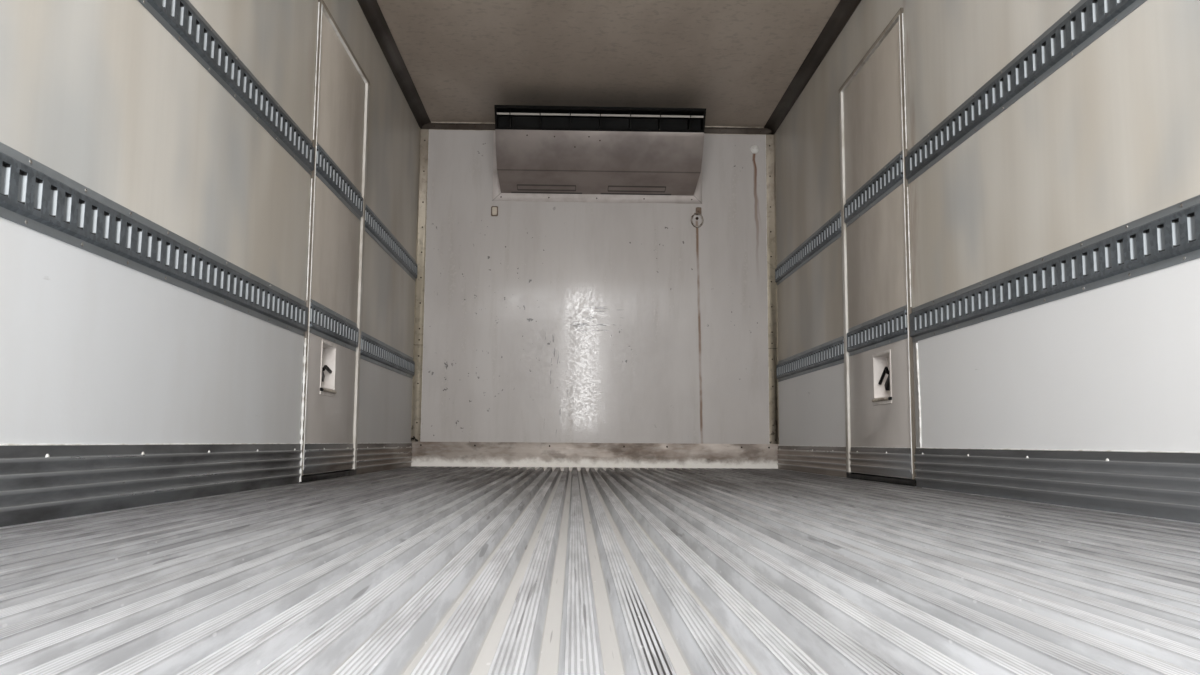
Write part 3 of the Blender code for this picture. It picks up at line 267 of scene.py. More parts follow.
# Towards the front the liner is painted darker, partly as dirt and partly as painted shade of the
# doorway's light falling off along the box.
front_dirt_and_shade = wall_sheet.rise(wall_sheet.y, -0.6, 1.5)
band = wall_sheet.patches(0.36, 0.66, 1.5, (1.5, 1.5, 0.45), detail=2.0, rough=0.5)
cold = wall_sheet.patches(0.46, 0.66, 1.9, (1.4, 1.0, 0.7), detail=2.0, rough=0.5)
streak = wall_sheet.patches(0.42, 0.7, 6.0, (2, 2, 0.12), detail=4.0)
faint = wall_sheet.patches(0.4, 0.7, 1.3, (1.5, 1.5, 0.5))
rub = wall_sheet.patches(0.69, 0.76, 3.0, (1, 1.5, 9), detail=5.0)
right_side = wall_sheet.rise(wall_sheet.x, -0.1, 0.1)
bare = wall_sheet.near(wall_sheet.y, DOORWAY_EDGE - 0.024, 0.024, 0.002) * right_side
tone = wall_sheet.layered(paint(230, 227, 220), [
    (0.7 * band, (200, 192, 179)),
    (0.6 * cold, (182, 188, 192)),
    (0.07 * streak, (150, 142, 130)),
    (front_dirt_and_shade * 0.45, (158, 148, 132)),
])
# Below the rail the right wall's liner is painted lighter than the left's: painted light.
clean = wall_sheet.layered(paint(230, 233, 236), [
    (0.3 * faint, (208, 206, 202)),
    (front_dirt_and_shade * 0.3 * (1.0 - right_side), (176, 168, 158)),
    (0.8 * right_side, (250, 251, 252)),
    (front_dirt_and_shade * 0.2, (176, 168, 158)),
    (rub * 0.5, (150, 148, 144)),
    (0.7 * bare, (128, 124, 120)),
])
splash = wall_sheet.patches(0.3, 0.75, 2.0, (1.5, 1.5, 0.6), detail=6.0)
splash = splash * wall_sheet.rise(wall_sheet.z, 0.25, 1.3, 1.0, 0.0)
skin = wall_sheet.blend(0.5 * splash, paint(233, 234, 234), paint(176, 170, 160))
leak = wall_sheet.near(wall_sheet.y, DOORWAY_EDGE - 0.05, 0.025, 0.05)
leak = leak * wall_sheet.patches(0.4, 0.62, 5.0, (1, 2, 0.4), detail=4.0)
tone = wall_sheet.blend(leak * (0.15 + 0.4 * right_side), tone, paint(146, 116, 92))
tone = wall_sheet.blend(upper, clean, tone)
wall_sheet.feed("Base Color", wall_sheet.blend(inside, skin, tone))
wall_sheet.feed("Roughness", 0.34 + 0.14 * band + 0.12 * splash)
wall_sheet.emboss(wall_sheet.grain(120.0, detail=3.0) * 0.4 + wall_sheet.grain(4.0) * 2.0, 0.0005)
dress(wall_sheet, "left_wall", "right_wall")


# Roof panel
# The same sandwich, laid on the walls in one piece. The ceiling is the dirtiest liner in the box,
# brown with damp and mould, and painted shade darkens it towards the cooling unit.
ROOF_CORE = (2.55, 2.56)
# The ceiling's patch of painted shade above and before the cooling unit: along the box, then out
# from its middle.
UNIT_SHADE = ((1.6, 2.3), (0.6, 0.8))
roof_sheet = Finish("roof_sheet", rough=0.45)
ceiling = roof_sheet.rise(roof_sheet.z, *ROOF_CORE, 1.0, 0.0)
soot = roof_sheet.patches(0.35, 0.7, 1.6, (1.5, 0.6, 1), detail=5.0)
mould = roof_sheet.patches(0.52, 0.66, 26.0, (1, 1.4, 1), detail=5.0)
clear = roof_sheet.patches(0.55, 0.72, 2.3, (1.2, 0.5, 1), detail=3.0)
unit_shade = roof_sheet.rise(roof_sheet.y, *UNIT_SHADE[0])
unit_shade = unit_shade * roof_sheet.rise(roof_sheet.out, *UNIT_SHADE[1], 1.0, 0.0)
# Towards the front the ceiling is painted lighter: painted light, making up for the doorway's light
# falling off along the box.
front_painted_light = roof_sheet.rise(roof_sheet.y, -0.8, 1.6)
tone = roof_sheet.layered(paint(188, 176, 163), [
    (0.7 * soot, (152, 140, 128)),
    (0.4 * mould, (104, 95, 85)),
    (0.35 * clear, (192, 183, 170)),
    (0.4 * unit_shade, (84, 75, 67)),
    (0.3 * front_painted_light, (214, 200, 186)),
])
washed = roof_sheet.patches(0.4, 0.68, 1.3, (1, 0.5, 1))
skin = roof_sheet.blend(0.4 * washed, paint(232, 233, 232), paint(188, 184, 176))
roof_sheet.feed("Base Color", roof_sheet.blend(ceiling, skin, tone))
roof_sheet.feed("Roughness", 0.42 + 0.25 * soot)
roof_sheet.emboss(roof_sheet.grain(110.0, detail=3.0) + roof_sheet.grain(4.0) * 2.0, 0.0004)
dress(roof_sheet, "roof_panel")


# Front wall
# The bulkhead panel, glossy off-white on the inside. Water has run down it from the drain cap on
# the right and from the sensor clip beside the cooling unit, and pallets have left black marks.
# The places of the drain cap and of the sensor clip, across and up.
CAP = (1.002, 2.377)
CLIP = (0.63, 1.92)
# Within the panel's foam, where the liner's colour gives way to the outer skin's.
BULKHEAD_CORE = (2.88, 2.9)
bulkhead = Finish("bulkhead", rough=0.34)
inside = bulkhead.rise(bulkhead.y, *BULKHEAD_CORE, 1.0, 0.0)
haze = bulkhead.patches(0.38, 0.7, 1.5, (2.4, 1, 0.6), detail=5.0)
wiped = bulkhead.patches(0.5, 0.75, 5.0, (3, 1, 0.35), detail=6.0)
wander = (bulkhead.grain(4.5, detail=2.0) - 0.5) * 0.045
below_cap = CAP[1] - bulkhead.z
run = bulkhead.near(bulkhead.x - below_cap * 0.012 + wander, CAP[0], 0.004, 0.009)
beside = bulkhead.near(bulkhead.x - below_cap * 0.05 + wander, CAP[0], 0.0022, 0.006)
run = run + 0.5 * beside * bulkhead.rise(below_cap, 0.35, 0.6, 1.0, 0.0)
run = run * bulkhead.rise(below_cap, 0.024, 0.034)
run = run * bulkhead.rise(below_cap, 0.2, 1.0, 1.0, 0.0)
below_clip = CLIP[1] - bulkhead.z
drip = bulkhead.near(bulkhead.x - below_clip * 0.018 + wander * 0.25, CLIP[0], 0.003, 0.009)
drip = drip * bulkhead.rise(below_clip, 0.0, 0.03)
foot = bulkhead.rise(bulkhead.z, 0.5, 1.1, 1.0, 0.0)
fleck = bulkhead.patches(0.675, 0.7, 30.0, (1, 1, 0.8), detail=3.0)
cluster = bulkhead.patches(0.47, 0.56, 1.9, detail=2.0)
scrape = bulkhead.patches(0.57, 0.6, 9.0, (0.7, 1, 7.0), detail=4.0)
scrape = scrape * bulkhead.near(bulkhead.x, 0.0, 0.11, 0.08)
scrape = scrape * bulkhead.near(bulkhead.z, 1.27, 0.04, 0.07)
score = bulkhead.patches(0.63, 0.66, 9.0, (7, 1, 0.9), detail=4.0)
score = score * bulkhead.near(bulkhead.x, -0.25, 0.06, 0.06)
score = score * bulkhead.near(bulkhead.z, 0.85, 0.25, 0.15)
drip_dirt = bulkhead.patches(0.4, 0.62, 7.0, (1, 1, 0.6), detail=4.0)
tone = bulkhead.layered(paint(196, 191, 188), [
    (0.4 * haze, (173, 166, 162)),
    (0.2 * wiped + 0.14 * foot, (150, 140, 128)),
    (0.62 * run, (122, 86, 62)),
    (drip * (0.3 + 0.6 * drip_dirt), (124, 96, 74)),
    (0.7 * fleck * cluster, (52, 49, 47)),
    (0.85 * scrape + 0.6 * score, (52, 50, 49)),
])
splash = bulkhead.patches(0.4, 0.7, 3.0)
skin = bulkhead.blend(0.3 * splash, paint(232, 233, 233), paint(182, 178, 170))
bulkhead.feed("Base Color", bulkhead.blend(inside, skin, tone))
scoured = bulkhead.patches(0.45, 0.6, 70.0, detail=4.0)
bulkhead.feed("Roughness", 0.08 + 0.05 * haze + 0.1 * wiped + 0.13 * scoured)
bulkhead.emboss(bulkhead.grain(3.0, (2, 1, 0.5), detail=2.0), 0.0016, 0.4)
dress(bulkhead, "front_wall")


# Corner posts and rails
# Aluminium angles riveted round the edges of the box, left in the mill finish: two front posts,
# a bottom rail a side and one roof rail that goes round three sides.
edge_metal = Finish("edge_metal", metal=0.85, rough=0.42)
dull = edge_metal.patches(0.38, 0.68, 3.0, (1, 0.6, 1), detail=5.0)
drawn = edge_metal.grain(40.0, (1, 0.06, 1), detail=3.0)
edge_metal.feed("Base Color", edge_metal.blend(0.7 * dull, paint(203, 205, 207), paint(152, 151, 148)))
edge_metal.feed("Roughness", 0.3 + 0.25 * dull + 0.1 * drawn)
edge_metal.emboss(drawn, 0.0003)
dress(edge_metal, "corner_post_left", "corner_post_right", edge=0.001)
dress(edge_metal, "bottom_rail_left", "bottom_rail_right", "roof_rails", edge=0.001)


def fit(name, shape, finish, body):
    """Puts a small piece on the body that carries it, in its finish."""
    shape.materials.append(finish.material)
    made = bpy.data.objects.new(name, shape)
    bpy.context.scene.collection.objects.link(made)
    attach(made, body)


def fasteners(name, body, finish, spots, radius, dome, sides=10, driven=True):
    """Round heads set on their spots, each a rim, a domed top and, if driven, a sunk recess."""
    mesh = bpy.data.meshes.new(name)
    heads = bmesh.new()
    # Each ring of a head: its share of the radius, then of the dome's height.
    rings = [(1.0, 0.0), (1.0, 0.35), (0.75, 0.84), (0.32, 1.0)]
    if driven:
        rings.append((0.22, 0.4))
    for spot, facing in spots:
        turn = Vector(facing).to_track_quat("Z", "Y").to_matrix().to_4x4()
        turn.translation = spot
        before = None
        for wide, high in rings:
            ring = [
                heads.verts.new(turn @ Vector((
                    radius * wide * math.cos(2 * math.pi * k / sides),
                    radius * wide * math.sin(2 * math.pi * k / sides), dome * high,
                )))
                for k in range(sides)
            ]
            if before:
                for k in range(sides):
                    after = (k + 1) % sides
                    heads.faces.new((before[k], before[after], ring[after], ring[k]))
            else:
                heads.faces.new(ring[::-1])
            before = ring
        heads.faces.new(before)
    for face in heads.faces:
        face.smooth = True
    heads.to_mesh(mesh)
    heads.free()
    fit(name, mesh, finish, body)


screw_steel = Finish("screw_steel", metal=0.9, rough=0.32)
screw_wear = screw_steel.patches(0.4, 0.65, 90.0)
tone = screw_steel.blend(screw_wear, paint(206, 205, 203), paint(142, 136, 130))
screw_steel.feed("Base Color", tone)
screw_steel.feed("Roughness", 0.25 + 0.25 * screw_wear)
rail_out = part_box("bottom_rail_right")[1].x
RIVET_STEP = 0.1
# Each row of rivets on a side: height, then where it starts and ends along the box.
RIVET_ROWS = (
    (0.2343, -3.2, 2.8), (0.3276, -3.2, 0.4), (0.3276, 1.45, 2.8),
    (2.5449, -3.2, 2.9), (2.6009, -3.2, 2.9),
)
# The front row: its face and its height.
FRONT_ROW = (2.9516, 2.5669)
rivets = []
for side in (-1, 1):
    for height, start, end in RIVET_ROWS:
        count = int((end - start) / RIVET_STEP)
        rivets += [
            ((side * (rail_out - 0.0002), start + (end - start) * k / count, height), (side, 0, 0))
            for k in range(count + 1)
        ]
rivets += [((x * RIVET_STEP, *FRONT_ROW), (0, 1, 0)) for x in range(-11, 12)]
fasteners(
    "rail_rivets", "box", edge_metal, rivets,
    radius=0.0045, dome=0.0013, sides=8, driven=False,
)


# Rear frame
# Stainless steel posts, header and sill, folded and welded into one ring that carries the rear
# doors' hinge lugs, pins and lock keepers. It is brushed upright on the posts.
brushed_steel = Finish("brushed_steel", metal=1.0, rough=0.34)
brush = brushed_steel.grain(60.0, (1, 1, 0.04), detail=3.0)
stain = brushed_steel.patches(0.45, 0.72, 4.0, (1, 1, 0.5))
low_part = brushed_steel.rise(brushed_steel.z, 0.12, 0.6, 1.0, 0.0)
tone = brushed_steel.layered(paint(196, 197, 198), [
    (brush, (168, 168, 168)),
    (stain * (0.3 + 0.4 * low_part), (118, 110, 100)),
])
brushed_steel.feed("Base Color", tone)
brushed_steel.feed("Roughness", 0.24 + 0.2 * brush + 0.15 * stain)
brushed_steel.emboss(brush, 0.0003)
dress(brushed_steel, "rear_frame", edge=0.0012)


# Dock bumpers
# Moulded rubber blocks on the rear sill, scraped where they meet a loading dock. Two bolts, sunk
# nearly flush, hold each one.
rubber = Finish("rubber", rough=0.7)
chalk = rubber.patches(0.45, 0.75, 9.0, (1, 1, 2))
rubber.feed("Base Color", rubber.blend(chalk, paint(27, 27, 28), paint(58, 56, 54)))
rubber.feed("Roughness", 0.58 + 0.25 * chalk)
rubber.emboss(rubber.grain(150.0) + rubber.grain(20.0), 0.0008)
dress(rubber, "dock_bumper_left", "dock_bumper_right", edge=0.006)
BUMPER_BOLT_RISE = 0.045
bumper_bolts = []
for side in ("left", "right"):
    low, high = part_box("dock_bumper_" + side)
    middle = (low + high) / 2
    bumper_bolts += [
        ((middle.x, low.y + 0.0002, middle.z + up), (0, -1, 0))
        for up in (-BUMPER_BOLT_RISE, BUMPER_BOLT_RISE)
    ]
fasteners(
    "bumper_bolts", "box", screw_steel, bumper_bolts, radius=0.011, dome=0.0001, sides=6
)


# Tail lamps
# Two round lamps a side on one plate, outside the bumpers. Each has a black rim and a glossy red
# lens moulded with fine rings.
LAMP_OUT = (0.92, 1.05)
LAMP_HEIGHT = 0.2371
LENS_RADIUS = 0.041
RING_TURNS = 2400.0
lamp_lens = Finish("lamp_lens", rough=0.18, fixed={"Coat Weight": 0.6, "Coat Roughness": 0.05})
lamp_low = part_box("tail_lamps_right")[0]
lens = lamp_lens.rise(lamp_lens.y, lamp_low.y + 0.0015, lamp_low.y + 0.003, 1.0, 0.0)
lamp_gap = [abs(lamp_lens.out - centre) for centre in LAMP_OUT]
aside = lamp_gap[0].worked("MINIMUM", lamp_gap[0], lamp_gap[1])
up = lamp_lens.z - LAMP_HEIGHT
across = aside.worked("SQRT", aside * aside + up * up)
glass = lamp_lens.rise(across, LENS_RADIUS, LENS_RADIUS + 0.001, 1.0, 0.0) * lens
rings = across.worked("SINE", across * RING_TURNS)
lamp_lens.feed("Base Color", lamp_lens.blend(glass, paint(30, 30, 31), paint(150, 16, 18)))
lamp_lens.feed("Roughness", 0.4 - 0.28 * glass + 0.1 * lamp_lens.patches(0.4, 0.7, 25.0))
lamp_lens.emboss(rings * glass, 0.0006)
dress(lamp_lens, "tail_lamps_left", "tail_lamps_right", edge=0.0015)


# Ceiling coves
# Bent strips of dark painted sheet that close the corner between wall and ceiling along both
# sides. The ceiling's brown grime has settled on them.
cove_sheet = Finish("cove_sheet", metal=0.2, rough=0.5)
grime = cove_sheet.patches(0.38, 0.7, 2.4, (1, 0.4, 1), detail=5.0)
cove_sheet.feed("Base Color", cove_sheet.blend(grime, paint(66, 57, 49), paint(48, 41, 34)))
cove_sheet.feed("Roughness", 0.42 + 0.25 * grime)
cove_sheet.emboss(cove_sheet.grain(50.0, (1, 0.2, 1)), 0.0004)
dress(cove_sheet, "ceiling_cove_left", "ceiling_cove_right", edge=0.001)


# Lashing rails
# Rolled galvanised steel, slotted every two inches to take lashing fittings, screwed to the wall
# through both flanges. The zinc has gone dark grey and is drawn lighter inside the slots, with
# painted shade deep in them and at their backs, and a painted shadow at each slot's ends.
SLOT_HALF = 0.0285
RAIL_SCREW_OUT = 1.1252
RAIL_SCREW_INSET = 0.008
RAIL_END = 0.02


def galvanised(name, samples):
    """The rails' finish. The slots' heights are those of the sample nodes."""
    steel = Finish(name, metal=0.6, rough=0.5)
    spangle = steel.node("ShaderNodeSeparateXYZ", {}, {0: steel.flakes(95.0)}, "X")
    tarnish = steel.patches(0.4, 0.7, 4.0, (1, 0.8, 2), detail=5.0)
    low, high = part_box(samples[0])
    middles = [(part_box(sample)[0].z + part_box(sample)[1].z) / 2 for sample in samples]
    sunk = steel.rise(steel.out, low.x + 0.0006, low.x + 0.0012)
    pocket = sum(steel.near(steel.z, height, SLOT_HALF, 0.001) for height in middles) * sunk
    # The slots' ends are painted near black: a painted shadow.
    slot_end_shadow = sum(
        steel.near(steel.z, height + up, 0.0035, 0.002)
        for height in middles for up in (-SLOT_HALF, SLOT_HALF)
    )
    # Deep in the slots and at their backs the colour is painted darker: painted shade.
    backed = steel.rise(steel.out, high.x - 0.0035, high.x - 0.003)
    slot_depth_shade = steel.rise(steel.out, low.x + 0.0055, low.x + 0.008)
    tone = steel.layered(paint(104, 112, 119), [
        (spangle, (130, 138, 145)),
        (0.45 * tarnish, (84, 88, 90)),
        (0.7 * backed, (168, 174, 178)),
        (pocket, (172, 178, 182)),
        (0.6 * pocket * slot_depth_shade, (84, 88, 91)),
        (0.75 * pocket * backed, (104, 108, 111)),
    ])
    steel.feed("Base Color", steel.blend(slot_end_shadow * sunk, tone, paint(26, 26, 27)))
    steel.feed("Roughness", 0.42 + 0.1 * spangle + 0.15 * tarnish)
    steel.feed("Metallic", 0.6 - 0.6 * pocket)
    steel.emboss(spangle * 0.4 + steel.grain(70.0), 0.0003)
    return steel


wall_rails = [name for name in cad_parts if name.startswith("lashing_rail")]
door_rails = [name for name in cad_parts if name.startswith("side_door_rail")]
wall_samples = ("lashing_rail_right_lower_rear", "lashing_rail_right_upper_rear")
door_samples = ("side_door_rail_right_lower", "side_door_rail_right_upper")
dress(galvanised("wall_rail_steel", wall_samples), *wall_rails, edge=0.0006)
dress(galvanised("door_rail_steel", door_samples), *door_rails, edge=0.0006)


def carried_by(name):
    """The side of the box that a rail or plate is on, and the body that it moves with."""
    moves = name.startswith("side_door")
    return (-1 if "left" in name else 1, "side_door_" + name.split("_")[3] if moves else "box")


rail_screws = {"box": [], "side_door_left": [], "side_door_right": []}
for name in wall_rails + door_rails:
    low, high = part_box(name)
    side, body = carried_by(name)
    count = round((high.y - low.y) / (4 * RIB_PITCH))
    for k in range(count + 1):
        along = low.y + RAIL_END + (high.y - low.y - 2 * RAIL_END) * k / count
        for height in (low.z + RAIL_SCREW_INSET, high.z - RAIL_SCREW_INSET):
            rail_screws[body].append(((side * RAIL_SCREW_OUT, along, height), (-side, 0, 0)))
for body, spots in rail_screws.items():
    fasteners(
        "rail_screws_" + body, body, screw_steel, spots, radius=0.0042, dome=0.002
    )


# Scuff plates
# Ribbed aluminium extrusions along the foot of each wall, dark with dirt between the ribs and
# polished bright along their noses. A bead of white sealant closes the top, and a dab of it covers
# each screw.
RIB_NOSES = (1.1181, 1.1202)
SCUFF_LIP = (0.4725, 0.4745)
scuff_metal = Finish("scuff_metal", metal=0.7, rough=0.42)
nose = scuff_metal.rise(scuff_metal.out, *RIB_NOSES, 1.0, 0.0)
lip = scuff_metal.rise(scuff_metal.z, *SCUFF_LIP)
caked = scuff_metal.patches(0.36, 0.7, 3.5, (1, 0.5, 2), detail=6.0)
forward = scuff_metal.rise(scuff_metal.y, 0.2, 1.4)
# The right side's plates are painted lighter than the left's: painted light.
right_side = scuff_metal.rise(scuff_metal.x, -0.1, 0.1)
tone = scuff_metal.layered(paint(153, 157, 161), [
    (caked, (97, 97, 99)),
    (0.6 * right_side, (180, 184, 189)),
    (0.65 * forward, (176, 159, 144)),
    (0.6 * nose, (206, 209, 212)),
    (0.6 * lip, (92, 94, 96)),
])
scuff_metal.feed("Base Color", tone)
scuff_metal.feed("Roughness", 0.4 + 0.25 * caked - 0.14 * nose)
scuff_metal.emboss(scuff_metal.grain(60.0, (1, 0.15, 1)), 0.0004)
scuffs = [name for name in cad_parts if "scuff" in name]
dress(scuff_metal, *scuffs, edge=0.0008)


def bead(name, body, finish, path, radius, lumps, seed, step):
    """A run of sealant squeezed from a gun, thicker and thinner along its path, or a bent rod."""
    chance = random.Random(seed)
    points = []
    for start, end in zip(path, path[1:]):
        start, end = Vector(start), Vector(end)
        count = max(2, int((end - start).length / step))
        points += [start.lerp(end, k / count) for k in range(count)]
    points.append(Vector(path[-1]))
    curve = bpy.data.curves.new(name, "CURVE")
    curve.dimensions = "3D"
    curve.bevel_depth = radius
    curve.bevel_resolution = 1
    curve.use_fill_caps = True
    run = curve.splines.new("POLY")
    run.points.add(len(points) - 1)
    for point, spot in zip(run.points, points):
        point.co = (*spot, 1.0)
        point.radius = 1.0 + lumps * (chance.random() - 0.4)
    fit(name, curve, finish, body)


sealant = Finish("sealant", rough=0.5)
aged = sealant.patches(0.42, 0.72, 22.0)
sealant.feed("Base Color", sealant.blend(aged, paint(242, 242, 240), paint(206, 202, 194)))
sealant.feed("Roughness", 0.42 + 0.25 * aged)
sealant.emboss(sealant.grain(140.0), 0.0005)
# The screws' spacing along the box, counted from this place, and their dabs' place out and up.
SCUFF_SCREW_FIRST = -0.026
SCUFF_SCREW_STEP = 0.4
SCUFF_SCREW_OUT = 1.1229
SCUFF_SCREW_HEIGHT = 0.472
SCUFF_BEAD_OUT = 1.1262
scuff_screws = {"box": [], "side_door_left": [], "side_door_right": []}
for name in scuffs:
    low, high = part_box(name)
    side, body = carried_by(name)
    for k in range(-9, 8):
        along = SCUFF_SCREW_FIRST + SCUFF_SCREW_STEP * k
        if low.y + 0.02 < along < high.y - 0.02:
            spot = (side * SCUFF_SCREW_OUT, along, SCUFF_SCREW_HEIGHT)
            scuff_screws[body].append((spot, (-side, 0, 0)))
    path = [
        (side * SCUFF_BEAD_OUT, along, high.z + 0.0012) for along in (low.y + 0.006, high.y - 0.006)
    ]
    bead(
        name + "_sealant", body, sealant, path,
        radius=0.0018, lumps=0.8, seed=len(name), step=0.03,
    )
for body, spots in scuff_screws.items():
    fasteners(
        "scuff_screws_" + body, body, sealant, spots,
        radius=0.0065, dome=0.0026, driven=False,
    )


# Bulkhead trims
# Folded aluminium strips screwed round the bulkhead: one up each corner, one under the ceiling.
# They have gone brown, dirt has gathered black at their feet, and pale sealant fills their edges.
TRIM_JOINT_HEIGHT = 1.098
trim_metal = Finish("trim_metal", metal=0.4, rough=0.45)
trim_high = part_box("bulkhead_trim")[1]
yellowed = trim_metal.patches(0.36, 0.68, 5.0, (1, 1, 0.6), detail=5.0)
top_strip = trim_metal.rise(trim_metal.z, trim_high.z - 0.052, trim_high.z - 0.048)
trim_foot = trim_metal.rise(trim_metal.z, 0.5, 0.66, 1.0, 0.0)
blot = trim_metal.patches(0.52, 0.62, 26.0, detail=5.0) * (trim_foot + 0.22)
middle_bright = trim_metal.near(trim_metal.z, 1.25, 0.35, 0.5)
joint = trim_metal.near(trim_metal.z, TRIM_JOINT_HEIGHT, 0.0014, 0.001)
under_bead = trim_metal.near(trim_metal.z, trim_high.z - 0.013, 0.003, 0.002)
tone = trim_metal.layered(paint(176, 166, 152), [
    (yellowed, (138, 126, 112)),
    (0.55 * middle_bright, (216, 206, 184)),
    (0.9 * top_strip, (56, 47, 41)),
    (0.9 * blot, (34, 31, 29)),
    (0.7 * under_bead, (60, 52, 46)),
])
trim_metal.feed("Base Color", trim_metal.blend(0.8 * joint, tone, paint(60, 54, 48)))
trim_metal.feed("Roughness", 0.36 + 0.25 * yellowed + 0.2 * blot)
trim_metal.emboss(trim_metal.grain(80.0, (1, 1, 0.2)), 0.0004)
dress(trim_metal, "bulkhead_trim", edge=0.0006)
dark_screw = Finish("dark_screw", metal=0.4, rough=0.55)
screw_rust = dark_screw.patches(0.4, 0.6, 120.0)
dark_screw.feed("Base Color", dark_screw.blend(screw_rust, paint(46, 41, 38), paint(74, 54, 40)))
dark_screw.feed("Roughness", 0.45 + 0.3 * screw_rust)
TRIM_SCREW_HEIGHTS = (0.62, 0.86, 1.03, 1.13, 1.2, 1.36, 1.52, 1.68, 1.84, 2.0, 2.2, 2.4)
TRIM_SCREW_INSET = 0.03
TOP_SCREW_FIRST = -1.04
TOP_SCREW_STEP = 0.26
trim_face = trim_high.y - 0.0032
trim_screws = [
    ((side * (trim_high.x - TRIM_SCREW_INSET), trim_face, up), (0, -1, 0))
    for side in (-1, 1) for up in TRIM_SCREW_HEIGHTS
]
trim_screws += [
    ((TOP_SCREW_FIRST + TOP_SCREW_STEP * k, trim_face, trim_high.z - TRIM_SCREW_INSET), (0, -1, 0))
    for k in range(9)
]
fasteners("trim_screws", "box", dark_screw, trim_screws, radius=0.005, dome=0.002)
pale_bead = Finish("pale_bead", rough=0.5)
bead_dirt = pale_bead.patches(0.4, 0.7, 9.0)
pale_bead.feed("Base Color", pale_bead.blend(bead_dirt, paint(206, 196, 182), paint(150, 138, 124)))
pale_bead.feed("Roughness", 0.45 + 0.2 * bead_dirt)
TRIM_BEAD_FOOT = 0.506
CEILING_BEAD_REACH = 1.06
trim_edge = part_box("left_wall")[1].x + 0.055
trim_bead_y = trim_high.y - 0.0008
for label, side in (("left", -1), ("right", 1)):
    path = [(side * trim_edge, trim_bead_y, up) for up in (TRIM_BEAD_FOOT, trim_high.z - 0.051)]
    bead(
        "trim_bead_" + label, "box", sealant, path,
        radius=0.0016, lumps=0.6, seed=7 + side, step=0.03,
    )
path = [(x, trim_bead_y, trim_high.z - 0.0508) for x in (trim_edge, -trim_edge)]
bead(
    "trim_bead_top", "box", pale_bead, path,
    radius=0.0016, lumps=0.6, seed=3, step=0.03,
)
reach = (-CEILING_BEAD_REACH, CEILING_BEAD_REACH)
path = [(x, trim_face - 0.0022, trim_high.z - 0.005) for x in reach]
bead(
    "ceiling_bead", "box", pale_bead, path,
    radius=0.0036, lumps=0.5, seed=5, step=0.03,
)


# Kick plate
# A strip of aluminium sheet along the foot of the bulkhead, scratched by pallets. Water standing in
# the channels keeps its lowest edge bright.
kick_metal = Finish("kick_metal", metal=0.4, rough=0.5)
scored = kick_metal.patches(0.42, 0.66, 6.0, (1.2, 1, 5), detail=7.0, rough=0.7)
cloud = kick_metal.patches(0.4, 0.65, 3.0, (1, 1, 2))
stained = kick_metal.patches(0.5, 0.64, 7.0, (0.7, 1, 1.5), detail=6.0)
tide = kick_metal.z - (kick_metal.grain(14.0, detail=6.0) - 0.5) * 0.09
washed = kick_metal.rise(tide, 0.37, 0.418, 1.0, 0.0)
tone = kick_metal.layered(paint(188, 177, 168), [
    (cloud, (148, 133, 122)),
    (0.4 * scored, (202, 196, 190)),
    (0.5 * stained, (96, 84, 74)),
])
kick_metal.feed("Base Color", kick_metal.blend(0.95 * washed, tone, paint(253, 249, 242)))
kick_metal.feed("Metallic", 0.35 - 0.35 * washed)
kick_metal.feed("Roughness", 0.42 + 0.25 * cloud)
kick_metal.emboss(kick_metal.grain(30.0, (0.4, 1, 3)), 0.0006)
dress(kick_metal, "kick_plate", edge=0.0006)
KICK_SCREWS = (-1.07, -0.74, -0.283, 0.174, 0.439, 0.9, 1.07)
KICK_SCREW_HEIGHT = 0.483
kick_low, kick_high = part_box("kick_plate")
kick_screws = [((x, kick_low.y + 0.0002, KICK_SCREW_HEIGHT), (0, -1, 0)) for x in KICK_SCREWS]
fasteners("kick_screws", "box", dark_screw, kick_screws, radius=0.0055, dome=0.0022)


# Evaporator
# The cooling unit's inner half: a black moulded hood with an outlet between posts under the
# ceiling, and below it a cover rolled from satin stainless sheet, screwed on at its edges.
black_plastic = Finish("black_plastic", rough=0.5, fixed={"Specular IOR Level": 0.3})
dusty = black_plastic.patches(0.45, 0.75, 12.0)
housing_low, housing_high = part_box("evaporator_housing")
strip = black_plastic.near(black_plastic.z, housing_high.z - 0.036, 0.0062, 0.0006)
strip = strip * black_plastic.near(black_plastic.y, housing_low.y + 0.0419, 0.0028, 0.0006)
tone = black_plastic.blend(0.3 * dusty, paint(6, 6, 6), paint(28, 25, 23))
black_plastic.feed("Base Color", black_plastic.blend(strip, tone, paint(176, 172, 166)))
black_plastic.feed("Roughness", 0.46 + 0.25 * dusty)
black_plastic.emboss(black_plastic.grain(220.0, detail=2.0), 0.0004)
dress(black_plastic, "evaporator_housing", edge=0.0015)

# The cover's level face ends at its fold. On it are two access plates, given by their ends across
# the unit, with their middle and half depth along the box, and before each a slot drawn as painted
# shade, a dark patch where the opening's shadowed inside would be.
LEVEL_FACE = 0.0524
ACCESS_PLATES = ((-0.502, -0.139), (0.063, 0.421))
PLATE_MIDDLE = 2.757
PLATE_HALF = 0.036
SLOT_START = 2.822
SLOT_HALF_WIDTH = 0.225
cover_steel = Finish("cover_steel", metal=0.45, rough=0.4)
cover_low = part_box("evaporator_cover")[0]
satin = cover_steel.grain(55.0, (0.05, 1, 1), detail=3.0)
mist = cover_steel.patches(0.38, 0.66, 2.2, (1.2, 1, 1.4), detail=4.0)
brown = cover_steel.rise(cover_steel.z, cover_low.z + 0.02, cover_low.z + 0.2, 1.0, 0.0)
level_face = cover_steel.rise(cover_steel.z, cover_low.z + 0.05, cover_low.z + LEVEL_FACE, 1.0, 0.0)
fold = cover_steel.near(cover_steel.z, cover_low.z + LEVEL_FACE, 0.0012, 0.0012)
lines = 0.0
cover_slot_shade = 0.0
